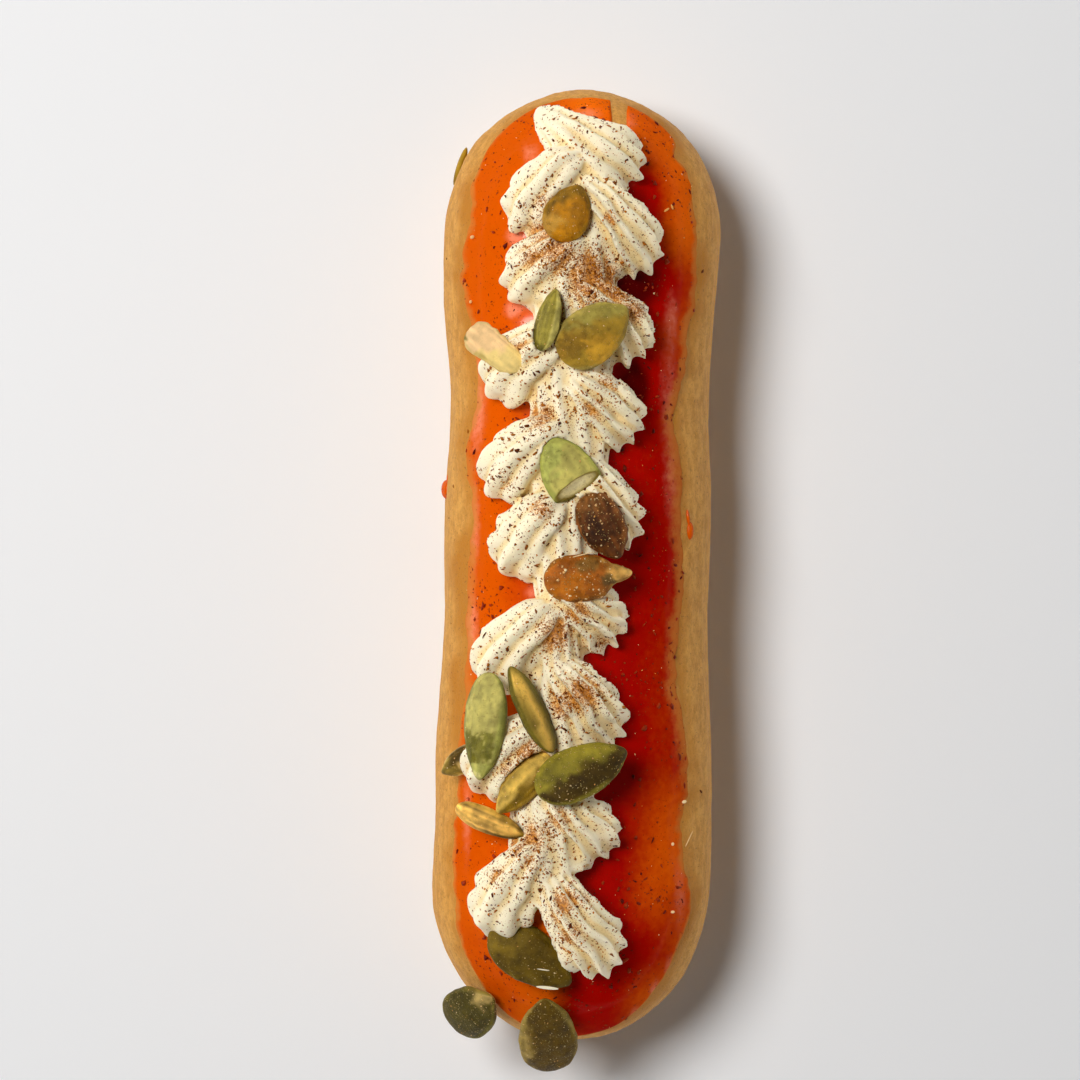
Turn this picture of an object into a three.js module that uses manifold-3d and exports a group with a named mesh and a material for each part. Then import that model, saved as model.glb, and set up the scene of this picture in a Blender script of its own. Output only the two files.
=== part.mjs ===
// An eclair: a choux shell, an orange glaze over its top, a rope of piped cream and pumpkin seeds.
// Millimetres, +Z up. The origin is the middle of the shell's flat underside, and +Y runs along the eclair.
import * as THREE from 'three';
import { mergeVertices } from 'three/addons/utils/BufferGeometryUtils.js';
import Module from 'manifold-3d';

// Shell
const SHELL_LENGTH = 121.6;
const SHELL_HALF_WIDTH = 17.85;
const SHELL_HEIGHT = 27;
const WIDEST_HEIGHT = 12;
const UNDERSIDE_DEPTH = 13;
const CROWN_POWER = 2.3;
const UNDERSIDE_POWER = 2.8;
const NOSE_POWER = 0.85;
const SHELL_DRIFT = 0.0165;
const SHELL_WAISTS = [
  { y: 20.5, depth: 1.25, spread: 9 },
  { y: -7.5, depth: 1.0, spread: 10 },
];
const SHELL_ENDS = { top: SHELL_LENGTH / 2, topRound: 19.2, bottom: -SHELL_LENGTH / 2, bottomRound: 21 };
const SHELL_RINGS = 40;
const SHELL_SIDES = 24;
const SLOPE_STEP = 0.05;

// Glaze
const GLAZE_THICKNESS = 1.2;
const GLAZE_EDGE = 0.4;
const GLAZE_INSET = 3.1;
const GLAZE_ENDS = { top: 59.2, topRound: 15.5, bottom: -59.6, bottomRound: 19 };
const GLAZE_WAVES = [
  { size: 0.5, rate: 0.31 },
  { size: 0.2, rate: 0.74 },
];
const GLAZE_WAVE_SHIFT = 9;
const GLAZE_RINGS = 36;
const GLAZE_COLUMNS = 10;

// Gap that touching pieces keep, and the height of the cream's underside above the shell
const GAP = 0.3;
const CREAM_SEAT = 2 * GAP + GLAZE_THICKNESS;

// Cream: each stroke starts as a toothed head at its tip, bends over and ends at the spine of the rope
const ROPE_RADIUS = 4.8;
const TEETH = 11;
const TOOTH_DEPTH = 0.2;
const TOOTH_POINTS = 2;
const HEAD_LEAN = THREE.MathUtils.degToRad(25);
const ROOT_LEAN = THREE.MathUtils.degToRad(100);
const HEAD_SINK = 1.5;
const STROKE_STEPS = 6;
const SWELL = { head: 0.9, full: 0.2, taper: 0.3, root: 0.58, tail: 0.15 };
const ROOT_HEIGHT = 3.2;
const TAIL_HEIGHT = 1.2;
const SPINE_MIDDLE = -1.9;
const SPINE_LEAN = 0.045;
const CORE_HALF_WIDTH = 5.3;
const CORE_WAIST = { y: -8, depth: 2.3, spread: 7 };
const CORE_HEIGHT = 5;
const CORE_SECTION = [[-1, 0], [-0.85, 0.6], [-0.35, 1], [0.35, 1], [0.85, 0.6], [1, 0]];
const CORE_STEP = 6;
const SEAT_RINGS = 26;
const CUT_FLOOR = 8;

// Tips of the strokes in plan and how far on along y each one ends, in the order in which they were piped
const STROKES = [
  { tip: [4.2, -50.6], rise: 13 },
  { tip: [-11.3, -45.7], rise: 11.6 },
  { tip: [4, -36.6], rise: 8.5 },
  { tip: [-12.8, -28.1], rise: 9.3 },
  { tip: [4.3, -22.8], rise: 11.2 },
  { tip: [-11.2, -15.2], rise: 10.5 },
  { tip: [5.2, -10], rise: 7.2 },
  { tip: [-9.1, -1.1], rise: 9.6 },
  { tip: [6.5, 1.9], rise: 11.8 },
  { tip: [-10.7, 8.9], rise: 8.9 },
  { tip: [7.1, 14.9], rise: 8.7 },
  { tip: [-10.5, 21.1], rise: 8.6 },
  { tip: [8.2, 25.3], rise: 9.4 },
  { tip: [-8.1, 32.7], rise: 7.8 },
  { tip: [9.2, 36.3], rise: 10.7 },
  { tip: [-8.1, 41.6], rise: 7.9 },
];
const LAST_TIP = [7.9, 47.4];
const TAIL_END = [-5.2, 55.2];
const TAIL_BEND = -5.5;

// Seeds, the lowest first: place in plan, size, turn about the upright, dip of the pointed end, roll about
// the length and colour. A tucked seed lies on the glaze with the cream round it, and a broken one has lost
// its round end.
const SEEDS = [
  { at: [-14.4, -24.2], size: [6.4, 3.2, 1.8], turn: 212, dip: 22, roll: 0, colour: 'gold', tucked: true },
  { at: [-5.9, -48.3], size: [12, 6.6, 2.6], turn: -34, dip: 0, roll: 0, colour: 'green', tucked: true },
  { at: [-13.4, -56.1], size: [10.6, 6.8, 2.6], turn: 40, dip: -50, roll: 0, colour: 'green', tucked: true },
  { at: [-3.8, -58.7], size: [12.6, 7.2, 2.8], turn: 95, dip: -38, roll: 0, colour: 'green', tucked: true },
  { at: [-10.9, -31.4], size: [9.4, 3.7, 2.2], turn: -21, dip: -12, roll: 40, colour: 'gold' },
  { at: [-6.7, -26.6], size: [9.7, 4.5, 2.4], turn: 228, dip: 8, roll: 20, colour: 'gold' },
  { at: [-5.7, -17.4], size: [11.8, 5.6, 2.6], turn: 117, dip: -4, roll: 66, colour: 'gold' },
  { at: [-11.5, -19.6], size: [13.4, 6.4, 2.6], turn: -96, dip: 4, roll: 42, colour: 'green' },
  { at: [0.4, -25], size: [12.4, 6.5, 3], turn: 24, dip: 12, roll: -12, colour: 'green' },
  { at: [-10.5, 27.2], size: [8.6, 4.6, 1.4], turn: 142, dip: 16, roll: 0, colour: 'pale' },
  { at: [-3.7, 30.3], size: [7.9, 4.6, 1.9], turn: 76, dip: 4, roll: -58, colour: 'green' },
  { at: [1.8, 28.6], size: [10.4, 6.9, 3], turn: 38, dip: 6, roll: 8, colour: 'gold' },
  { at: [-1.2, 43.4], size: [7.4, 5.7, 2.8], turn: 66, dip: -8, roll: -8, colour: 'gold' },
  { at: [-1, 11.3], size: [11, 6.7, 2.6], turn: 123, dip: 12, roll: -6, colour: 'green', broken: 0.35 },
  { at: [1.2, -1.2], size: [11, 5.8, 2.8], turn: 6, dip: 8, roll: -8, colour: 'brown' },
  { at: [3.1, 5], size: [8.8, 5.8, 2.4], turn: -62, dip: 4, roll: 22, colour: 'brown' },
];
const SEED_RINGS = 6;
const SEED_SIDES = 8;
const SEED_BLUNT_SHARE = 0.6;
const SEED_POINT_SHARE = 0.6;
const SEED_POINT = 0.2;
const SEED_PRESS = 1.6;
const DROP_HEIGHT = 100;

const LOOKS = {
  shell: { color: 0xc9964f, roughness: 0.75 },
  glaze: { color: 0xe0560f, roughness: 0.15 },
  cream: { color: 0xf3ead0, roughness: 0.55 },
  green: { color: 0x76762c, roughness: 0.5 },
  gold: { color: 0xa98436, roughness: 0.5 },
  brown: { color: 0x6b3b1c, roughness: 0.5 },
  pale: { color: 0xe2c493, roughness: 0.5 },
};

const wasm = await Module();
wasm.setup();

// Share of the full width that is left at y, with an elliptic end of its own length at each side
function endRound(y, ends) {
  const past = Math.max(
    (y - ends.top + ends.topRound) / ends.topRound,
    (ends.bottom + ends.bottomRound - y) / ends.bottomRound,
    0,
  );
  return Math.sqrt(Math.max(1 - past * past, 0));
}

// Places along y that crowd towards both ends, without the ends themselves
function stations(ends, count) {
  const middle = (ends.top + ends.bottom) / 2;
  const reach = (ends.top - ends.bottom) / 2;
  return Array.from({ length: count }, (_, i) => middle - reach * Math.cos((Math.PI * (i + 0.5)) / count));
}

// How much a waist takes off a half width at y: a bell-shaped dip
function waistDip(waist, y) {
  return waist.depth * Math.exp(-(((y - waist.y) / waist.spread) ** 2) / 2);
}

// Half width of the shell before its ends are rounded
function belly(y) {
  return SHELL_WAISTS.reduce((width, waist) => width - waistDip(waist, y), SHELL_HALF_WIDTH);
}

function centreLine(y) {
  return SHELL_DRIFT * y;
}

function noseHeight(y) {
  return endRound(y, SHELL_ENDS) ** NOSE_POWER;
}

// Height of the shell's upper surface
function crown(x, y) {
  const across = Math.abs(x - centreLine(y)) / Math.max(belly(y) * endRound(y, SHELL_ENDS), 1e-6);
  const arch = Math.max(1 - across ** CROWN_POWER, 0) ** (1 / CROWN_POWER);
  return WIDEST_HEIGHT + (SHELL_HEIGHT - WIDEST_HEIGHT) * noseHeight(y) * arch;
}

function crownNormal(x, y) {
  const slopeX = (crown(x + SLOPE_STEP, y) - crown(x - SLOPE_STEP, y)) / (2 * SLOPE_STEP);
  const slopeY = (crown(x, y + SLOPE_STEP) - crown(x, y - SLOPE_STEP)) / (2 * SLOPE_STEP);
  return new THREE.Vector3(-slopeX, -slopeY, 1).normalize();
}

// Point at a distance above the shell's upper surface, measured square to it
function aboveCrown(x, y, distance) {
  return new THREE.Vector3(x, y, crown(x, y)).addScaledVector(crownNormal(x, y), distance);
}

// Closed surface through rings of equal count, each turning right-handed about the way the rings advance
function skin(rings, startPole, endPole) {
  const count = rings[0].length;
  const points = [...rings.flat(), startPole, endPole];
  const start = points.length - 2;
  const end = points.length - 1;
  const last = (rings.length - 1) * count;
  const faces = [];
  for (let j = 0; j < count; j += 1) {
    const next = (j + 1) % count;
    faces.push(start, next, j, end, last + j, last + next);
    for (let i = 0; i < last; i += count) {
      faces.push(i + j, i + next, i + count + next, i + j, i + count + next, i + count + j);
    }
  }
  const geometry = new THREE.BufferGeometry().setFromPoints(points);
  geometry.setIndex(faces);
  return geometry;
}

function middleOf(ring) {
  const sum = ring.reduce((total, point) => total.add(point), new THREE.Vector3());
  return sum.divideScalar(ring.length);
}

function toSolid(geometry) {
  const bare = geometry.clone();
  bare.deleteAttribute('normal');
  bare.deleteAttribute('uv');
  const merged = mergeVertices(bare);
  return new wasm.Manifold(new wasm.Mesh({
    numProp: 3,
    vertProperties: new Float32Array(merged.attributes.position.array),
    triVerts: new Uint32Array(merged.index.array),
  }));
}

function toGeometry(solid) {
  const mesh = solid.getMesh();
  const geometry = new THREE.BufferGeometry();
  geometry.setAttribute('position', new THREE.BufferAttribute(new Float32Array(mesh.vertProperties), 3));
  geometry.setIndex([...mesh.triVerts]);
  return geometry;
}

// The largest of a solid's separate bodies
function mainBody(solid) {
  return solid.decompose().reduce((best, body) => (body.volume() > best.volume() ? body : best));
}

// Shell: superelliptic sections, cut flat underneath, that shrink to a point at both ends
function shellRing(y) {
  const halfWidth = belly(y) * endRound(y, SHELL_ENDS);
  return Array.from({ length: SHELL_SIDES }, (_, i) => {
    const angle = (2 * Math.PI * i) / SHELL_SIDES;
    const up = Math.cos(angle);
    const power = up > 0 ? CROWN_POWER : UNDERSIDE_POWER;
    const depth = up > 0 ? SHELL_HEIGHT - WIDEST_HEIGHT : UNDERSIDE_DEPTH;
    const across = Math.sign(Math.sin(angle)) * Math.abs(Math.sin(angle)) ** (2 / power);
    const rise = Math.sign(up) * Math.abs(up) ** (2 / power) * depth * noseHeight(y);
    return new THREE.Vector3(centreLine(y) + halfWidth * across, y, Math.max(WIDEST_HEIGHT + rise, 0));
  });
}

function shellGeometry() {
  const pole = (y) => new THREE.Vector3(centreLine(y), y, WIDEST_HEIGHT);
  const rings = stations(SHELL_ENDS, SHELL_RINGS).map(shellRing);
  return skin(rings, pole(SHELL_ENDS.bottom), pole(SHELL_ENDS.top));
}

// Where the glaze stops on one side (-1 left, 1 right): a wavy line inside the shell's outline
function glazeEdge(y, side) {
  const along = y + side * GLAZE_WAVE_SHIFT;
  const wave = GLAZE_WAVES.reduce((sum, { size, rate }) => sum + size * Math.sin(rate * along), 0);
  return centreLine(y) + side * (belly(y) - GLAZE_INSET + wave) * endRound(y, GLAZE_ENDS);
}

// One pass of points across the glaze, with the height above the shell given across it from -1 to 1
function acrossGlaze(y, height) {
  const left = glazeEdge(y, -1);
  const right = glazeEdge(y, 1);
  return Array.from({ length: GLAZE_COLUMNS + 1 }, (_, i) => {
    const share = -Math.cos((Math.PI * i) / GLAZE_COLUMNS);
    const x = (left + right) / 2 + (share * (right - left)) / 2;
    return aboveCrown(x, y, height(share));
  });
}

function glazeTop(share) {
  return GAP + GLAZE_EDGE + (GLAZE_THICKNESS - GLAZE_EDGE) * Math.sqrt(1 - share ** 4);
}

function glazeGeometry() {
  const pole = (y) => aboveCrown(centreLine(y), y, GAP + GLAZE_EDGE / 2);
  const ring = (y) => [...acrossGlaze(y, glazeTop), ...acrossGlaze(y, () => GAP).reverse()];
  const rings = stations(GLAZE_ENDS, GLAZE_RINGS).map(ring);
  return skin(rings, pole(GLAZE_ENDS.bottom), pole(GLAZE_ENDS.top));
}

// All that lies below the cream: the glaze's full thickness with a gap over it, down to a flat floor
function creamSeat() {
  const floorUnder = ({ x, y }) => new THREE.Vector3(x, y, CUT_FLOOR);
  const rings = stations(GLAZE_ENDS, SEAT_RINGS).map((y) => {
    const top = acrossGlaze(y, () => CREAM_SEAT);
    return [...top, ...top.map(floorUnder).reverse()];
  });
  return skin(rings, middleOf(rings[0]), middleOf(rings.at(-1)));
}

// Section of the rope: sharp crests with round valleys between them
function toothedRadius(angle) {
  return 1 - TOOTH_DEPTH * Math.abs(Math.sin((TEETH * angle) / 2));
}

// Size of the rope's section along a stroke, from its head at 0 to its end at 1
function swell(share, endScale) {
  const head = SWELL.head + (1 - SWELL.head) * Math.min(share / SWELL.full, 1);
  const taper = Math.max((share - SWELL.taper) / (1 - SWELL.taper), 0);
  return head + (endScale - 1) * taper;
}

// One stroke: an arc that leans inwards from the glaze at its tip, may bend sideways and is drawn down to its end
function strokeGeometry(tip, end, endHeight, endScale, bend = 0) {
  const inward = new THREE.Vector3(end[0] - tip[0], end[1] - tip[1], 0);
  const overhang = ROPE_RADIUS * SWELL.head * Math.cos(HEAD_LEAN);
  const arcRadius = (inward.length() - overhang) / (Math.cos(HEAD_LEAN) - Math.cos(ROOT_LEAN));
  inward.normalize();
  const foot = new THREE.Vector3(tip[0], tip[1], 0).addScaledVector(inward, overhang);
  const upright = crownNormal(foot.x, foot.y);
  const along = inward.clone().addScaledVector(upright, -inward.dot(upright)).normalize();
  const side = new THREE.Vector3().crossVectors(along, upright);
  const raised = (lean) => upright.clone().multiplyScalar(Math.sin(lean));
  const outward = (lean) => raised(lean).addScaledVector(along, -Math.cos(lean));
  const head = aboveCrown(foot.x, foot.y, CREAM_SEAT - HEAD_SINK);
  const pivot = head.clone().addScaledVector(outward(HEAD_LEAN), -arcRadius);
  const arcEnd = pivot.clone().addScaledVector(outward(ROOT_LEAN), arcRadius);
  const draw = aboveCrown(end[0], end[1], CREAM_SEAT + endHeight).sub(arcEnd);

  const rings = Array.from({ length: STROKE_STEPS + 1 }, (_, step) => {
    const share = step / STROKE_STEPS;
    const away = outward(HEAD_LEAN + (ROOT_LEAN - HEAD_LEAN) * share);
    const centre = pivot.clone().addScaledVector(away, arcRadius).addScaledVector(draw, share * share)
      .addScaledVector(side, bend * share * (1 - share));
    const size = ROPE_RADIUS * swell(share, endScale);
    return Array.from({ length: TEETH * TOOTH_POINTS }, (_unused, i) => {
      const angle = (2 * Math.PI * i) / (TEETH * TOOTH_POINTS);
      const radius = size * toothedRadius(angle);
      return centre.clone()
        .addScaledVector(away, radius * Math.cos(angle))
        .addScaledVector(side, radius * Math.sin(angle));
    });
  });
  return skin(rings, middleOf(rings[0]), middleOf(rings.at(-1)));
}

function spine(y) {
  return SPINE_MIDDLE + SPINE_LEAN * y;
}

// Low ridge under the strokes, so that the rope is solid down to the glaze
function coreGeometry() {
  const first = STROKES[0].tip[1] + STROKES[0].rise;
  const count = Math.round((LAST_TIP[1] - first) / CORE_STEP);
  const rings = Array.from({ length: count + 1 }, (_, i) => {
    const y = first + ((LAST_TIP[1] - first) * i) / count;
    const x = spine(y);
    const base = crown(x, y);
    const halfWidth = CORE_HALF_WIDTH - waistDip(CORE_WAIST, y);
    const height = CREAM_SEAT + CORE_HEIGHT;
    return CORE_SECTION.map(([across, up]) => new THREE.Vector3(x + across * halfWidth, y, base + up * height));
  });
  return skin(rings, middleOf(rings[0]), middleOf(rings.at(-1)));
}

function creamSolid() {
  const strokes = STROKES.map(({ tip, rise }) => {
    const rootY = tip[1] + rise;
    return strokeGeometry(tip, [spine(rootY), rootY], ROOT_HEIGHT, SWELL.root);
  });
  strokes.push(strokeGeometry(LAST_TIP, TAIL_END, TAIL_HEIGHT, SWELL.tail, TAIL_BEND));
  const rope = strokes.map(toSolid).reduce((fused, stroke) => fused.add(stroke), toSolid(coreGeometry()));
  return mainBody(rope.subtract(toSolid(creamSeat())));
}

// Seed: a flat drop with a round end at -X and its point at +X, grown all round by an allowance
function seedGeometry({ size, broken = 1 }, allowance) {
  const [length, width, thickness] = size.map((extent) => extent / 2 + allowance);
  const at = (share) => {
    const swell = Math.sqrt(Math.max(1 - share * share, 0));
    return { x: length * share, y: width * swell * (1 - SEED_POINT * share), z: thickness * swell };
  };
  const rings = Array.from({ length: SEED_RINGS }, (_, i) => {
    const turn = (Math.PI * (i + SEED_BLUNT_SHARE)) / (SEED_RINGS - 1 + SEED_BLUNT_SHARE + SEED_POINT_SHARE);
    const whole = -Math.cos(turn);
    const { x, y, z } = at(Math.max(whole, -broken));
    return Array.from({ length: SEED_SIDES }, (_unused, j) => {
      const angle = (2 * Math.PI * j) / SEED_SIDES;
      return new THREE.Vector3(x, y * Math.cos(angle), z * Math.sin(angle));
    });
  }).filter((ring, i, all) => i === all.length - 1 || ring[0].x < all[i + 1][0].x);
  const start = broken < 1 ? middleOf(rings[0]) : new THREE.Vector3(-length, 0, 0);
  return skin(rings, start, new THREE.Vector3(length, 0, 0));
}

function named(name, geometry, look) {
  const flat = geometry.toNonIndexed();
  flat.computeVertexNormals();
  const mesh = new THREE.Mesh(flat, new THREE.MeshStandardMaterial({ ...LOOKS[look], metalness: 0 }));
  mesh.name = name;
  return mesh;
}

function turnOf({ turn, dip, roll }) {
  const angles = [roll, dip, turn].map(THREE.MathUtils.degToRad);
  return new THREE.Euler(...angles, 'ZYX');
}

// Height at which a seed comes to rest on what lies under it, pressed a little into the cream
function restHeight(seed, supports) {
  const below = new THREE.Raycaster();
  const down = new THREE.Vector3(0, 0, -1);
  const points = seed.geometry.attributes.position;
  const point = new THREE.Vector3();
  let height = -Infinity;
  for (let i = 0; i < points.count; i += 1) {
    point.fromBufferAttribute(points, i).applyEuler(seed.rotation);
    const from = new THREE.Vector3(seed.position.x + point.x, seed.position.y + point.y, DROP_HEIGHT);
    below.set(from, down);
    const [hit] = below.intersectObjects(supports);
    if (hit) {
      const clearance = hit.object.name === 'cream' ? -SEED_PRESS : GAP;
      height = Math.max(height, hit.point.z + clearance - point.z);
    }
  }
  return height;
}

function placeSeed(seed, index, supports) {
  const mesh = named(`seed_${String(index + 1).padStart(2, '0')}`, seedGeometry(seed, 0), seed.colour);
  mesh.position.set(seed.at[0], seed.at[1], 0);
  mesh.rotation.copy(turnOf(seed));
  mesh.position.z = restHeight(mesh, supports);
  mesh.updateMatrixWorld();
  return mesh;
}

const shell = named('shell', shellGeometry(), 'shell');
const glaze = named('glaze', glazeGeometry(), 'glaze');
const rope = creamSolid();
const bareCream = named('cream', toGeometry(rope), 'cream');

const seeds = [];
SEEDS.forEach((seed, index) => {
  const under = seed.tucked ? [shell, glaze] : [shell, glaze, bareCream];
  seeds.push(placeSeed(seed, index, [...under, ...seeds]));
});

// The cream keeps a gap round each seed that is pressed into it or tucked under it
const pressed = SEEDS.reduce((left, seed, index) => {
  const hollow = seedGeometry(seed, GAP).applyMatrix4(seeds[index].matrixWorld);
  return left.subtract(toSolid(hollow));
}, rope);
const cream = named('cream', toGeometry(mainBody(pressed)), 'cream');

const toppings = new THREE.Group();
toppings.add(...seeds);
const eclair = new THREE.Group();
eclair.add(shell, glaze, cream, toppings);

export default eclair;
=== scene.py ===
"""Looks of the eclair: a baked choux shell, a glossy orange glaze, piped cream, pumpkin seeds and spice.

Shapes are worked out in millimetres and put into metres when they become meshes.
"""

import math

import bpy
import numpy as np
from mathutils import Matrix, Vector


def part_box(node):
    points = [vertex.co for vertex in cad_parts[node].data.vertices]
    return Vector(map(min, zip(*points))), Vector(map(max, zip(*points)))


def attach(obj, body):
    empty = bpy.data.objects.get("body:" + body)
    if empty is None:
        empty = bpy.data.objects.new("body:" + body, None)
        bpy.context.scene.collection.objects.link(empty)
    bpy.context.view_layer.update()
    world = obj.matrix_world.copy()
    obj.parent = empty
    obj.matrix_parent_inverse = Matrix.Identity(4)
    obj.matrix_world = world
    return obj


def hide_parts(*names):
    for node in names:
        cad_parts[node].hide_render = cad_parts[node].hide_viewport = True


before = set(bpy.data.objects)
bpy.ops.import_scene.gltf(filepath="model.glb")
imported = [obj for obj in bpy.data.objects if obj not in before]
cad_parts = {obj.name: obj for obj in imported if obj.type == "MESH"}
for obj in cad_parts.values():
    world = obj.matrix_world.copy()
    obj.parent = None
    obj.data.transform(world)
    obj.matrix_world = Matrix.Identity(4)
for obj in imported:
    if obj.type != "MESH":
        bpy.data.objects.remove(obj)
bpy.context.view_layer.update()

MM = 0.001

# Shell, as in the part's source, with its waists as place, depth and reach
SHELL_HALF_WIDTH = 17.85
SHELL_HEIGHT = 27.0
WIDEST_HEIGHT = 12.0
UNDERSIDE_DEPTH = 13.0
CROWN_POWER = 2.3
UNDERSIDE_POWER = 2.8
NOSE_POWER = 0.85
SHELL_DRIFT = 0.0165
SHELL_WAISTS = [(20.5, 1.25, 9.0), (-7.5, 1.0, 10.0)]
SHELL_ENDS = {"top": 60.8, "top_round": 19.2, "bottom": -60.8, "bottom_round": 21.0}
SHELL_RINGS = 300
SHELL_SIDES = 230
SLOPE_STEP = 0.05

# Relief of the crust, as layers of noise with amount, cell size and seed, and the heights where it sets in
SHELL_RELIEF = [
    (0.12, (2.6, 11.0, 2.6), 1), (0.05, (0.9, 2.6, 0.9), 2), (0.04, (0.7, 1.4, 0.7), 3),
    (0.25, (7.0, 11.0, 7.0), 4),
]
RELIEF_START = (0.2, 3.0)

# Ochre bake of the shell: stains as place, reach across, reach along and amount, the stain along the glaze's
# edge, the foot, and layers of noise over all of them
SHELL_STAINS = [(-15.3, -1.0, 0.9, 3.0, 0.8), (-15.6, -13.0, 0.8, 2.0, 0.5), (-14.6, 46.0, 0.8, 2.0, 0.4)]
EDGE_STAIN = {"amount": 0.75, "reach": 1.7, "heights": (11, 14), "stop": (-1.5, 0.2)}
FOOT_BAKE = {"amount": 0.6, "height": 4.5}
BAKE_CLOUDS = [(0.35, (4.0, 9.0, 4.0), 5)]

# Glaze, as in the part's source, with a finer edge: waves as size and rate, bites as side, place, depth and
# reach, and layers of noise for its edge, its surface and its film, which calm down towards the ends
GLAZE_MIDDLE = 1.2
GLAZE_RIM = 0.3
GLAZE_ROLL = 0.96
GLAZE_THINNING = 4
GLAZE_BED = -0.15
GLAZE_SUNK = 0.5
GLAZE_INSET = 3.1
GLAZE_ENDS = {"top": 59.5, "top_round": 15.5, "bottom": -59.7, "bottom_round": 19.0}
GLAZE_WAVES = [(0.25, 0.31), (0.1, 0.53)]
GLAZE_WAVE_SHIFT = 9.0
GLAZE_RINGS = 420
GLAZE_COLUMNS = 150
GLAZE_BED_COLUMNS = 20
GLAZE_BITES = [
    (1, 51.6, 1.4, 0.9), (1, 47.5, 0.3, 4.0), (1, 38.0, 0.5, 1.6), (1, 18.2, 1.8, 2.6), (1, -5.0, 0.9, 16.0),
    (-1, 22.5, 0.4, 3.0), (-1, 44.0, 0.4, 1.5), (-1, 40.5, -0.5, 3.0), (1, -33.0, 0.4, 3.0),
    (-1, -36.0, -0.6, 4.0),
]
GLAZE_RAGGED = [(0.5, 7.3, 11), (0.2, 1.9, 12), (0.12, 0.8, 13)]
GLAZE_RIPPLE = [(0.16, (5.0, 8.0, 5.0), 21), (0.05, 1.8, 22)]
GLAZE_UNEVEN = [(0.035, (1.6, 4.0, 1.0), 24), (0.02, 0.7, 26)]
END_CALM = 0.8
SIDES_APART = 40.0
GLOSS = {"middle": 0.5, "loss": 0.47, "fade": (0.4, 0.75)}
BARE_STRIPE = {"x": 5.1, "half_width": 1.15, "from_y": 53.6, "onset": 1.0, "fade": (0.4, 1.1), "sink": 0.5}

# Where the film at the glaze's edge begins: share of the way out on each side, the step in halfway along
# that side and the step out towards the ends
FILM_START = {-1: 0.92, 1: 0.92}
FILM_HALFWAY_STEP = {-1: 0.07, 1: 0.13}
FILM_END_STEP = 0.06
SIDE_BLEND = 0.6
HALFWAY = {"at": -2.0, "reach": 30.0}

# Redness of the glaze, partly its depth and partly painted shade, most of it right of the cream: ranges
# beside the rope where it rises and falls, then ranges with an amount for what both ends lose and what the
# low end, the low left side and the strip left of the rope keep
RED_RISE = (-1, 5)
RED_FALL = (7, 14)
RED_FALL_ENDS = 0.6
RED_KEPT_HALFWAY = 0.42
RED_TOP_LOSS = (40, 54, 0.62)
RED_LOW_LOSS = (36, 56, 0.1)
RED_LOW_END = (46, 58, 0.2)
RED_LOW_LEFT = (15, 50, 0.14)
RED_NEAR_ROPE = (-10, -5, 0.35)
RED_CLOUDS = [(0.14, 6.0, 23)]
LOW_END_ACROSS = (-12, -2)
LEFT_SIDE = (-6, 2)

# Painted cast shadows of the cream on the glaze, to its right: place, reach across, reach along, amount
PAINTED_CAST_SHADOWS = [
    (8.2, 34.8, 3.8, 2.4, 0.6), (7.0, 22.2, 1.8, 2.4, 0.65), (8.0, 46.5, 1.8, 2.5, 0.45),
    (8.6, -48.0, 2.6, 3.4, 0.42),
]

# Painted sheen: pale patches on the glaze beside the cream and along its rims that stand for reflections:
# place, reach across, reach along, amount
SHEEN = [
    (-7.5, 41.1, 0.8, 0.8, 0.9), (-7.7, 32.0, 0.8, 0.8, 0.9), (-5.6, 51.3, 1.0, 1.2, 0.5),
    (1.1, 56.4, 1.4, 0.8, 0.6), (6.6, 55.6, 0.7, 1.0, 0.4), (-5.5, -3.2, 0.6, 0.6, 0.7),
    (11.0, 22.0, 1.0, 5.0, 0.38), (11.4, 10.0, 0.9, 4.0, 0.35), (-12.3, 21.0, 0.8, 4.5, 0.8),
    (-12.8, 5.0, 0.7, 4.0, 0.6), (-13.1, -7.5, 0.7, 3.0, 0.7), (-13.5, -31.0, 0.5, 4.0, 0.5),
    (12.6, -41.0, 0.7, 4.0, 0.4), (11.4, 31.5, 0.7, 2.5, 0.4), (11.4, -50.5, 0.45, 1.2, 0.6),
    (9.6, -53.5, 0.5, 1.3, 0.6), (7.2, -56.5, 0.6, 0.9, 0.6),
]

# Cream, as in the part's source, with finer teeth for strokes from the right (1), the left (-1), the last (0)
CREAM_SEAT = 1.8
ROPE_RADIUS = 4.8
TEETH = {1: 11, -1: 8, 0: 10}
TOOTH_DEPTH = {1: 0.33, -1: 0.22, 0: 0.3}
LOBE = {1: 0.05, -1: 0.8, 0: 0.6}
TOOTH_POINTS = 10
TWIST = 0.5
TWIST_POWER = 1.5
TOOTH_UNEVEN = [(0.35, (0.5, 0.5, 0.8), 0)]
TOOTH_WANDER = [(0.16, 0.8, 25)]
STROKE_UNEVEN = [(0.05, (0.35, 0.35, 0.5), 50)]
FIRST_STROKE_SEED = 100
HEAD_LEAN = math.radians(25)
ROOT_LEAN = math.radians(100)
HEAD_SINK = 1.5
STROKE_STEPS = 44
SWELL = {"head": 0.9, "full": 0.2, "taper": 0.3, "root": 0.58, "tail": 0.34}
ROOT_HEIGHT = 3.2
TAIL_HEIGHT = 0.2
SPINE_MIDDLE = -1.9
SPINE_LEAN = 0.045
CORE_HALF_WIDTH = 5.3
CORE_WAIST = (-8.0, 2.3, 7.0)
CORE_HEIGHT = 5.2
CORE_TEETH = 12
CORE_TOOTH = 0.12
CORE_TWIST = 0.04
CORE_SIDES = 96
CORE_RINGS = 80
ROOT_ROUND = 0.8
ROOT_END = 1.02
CREAM_VOXEL = 0.29
CREAM_UNDERSIDE = 0.4
CREAM_EASE = 0.4
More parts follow.
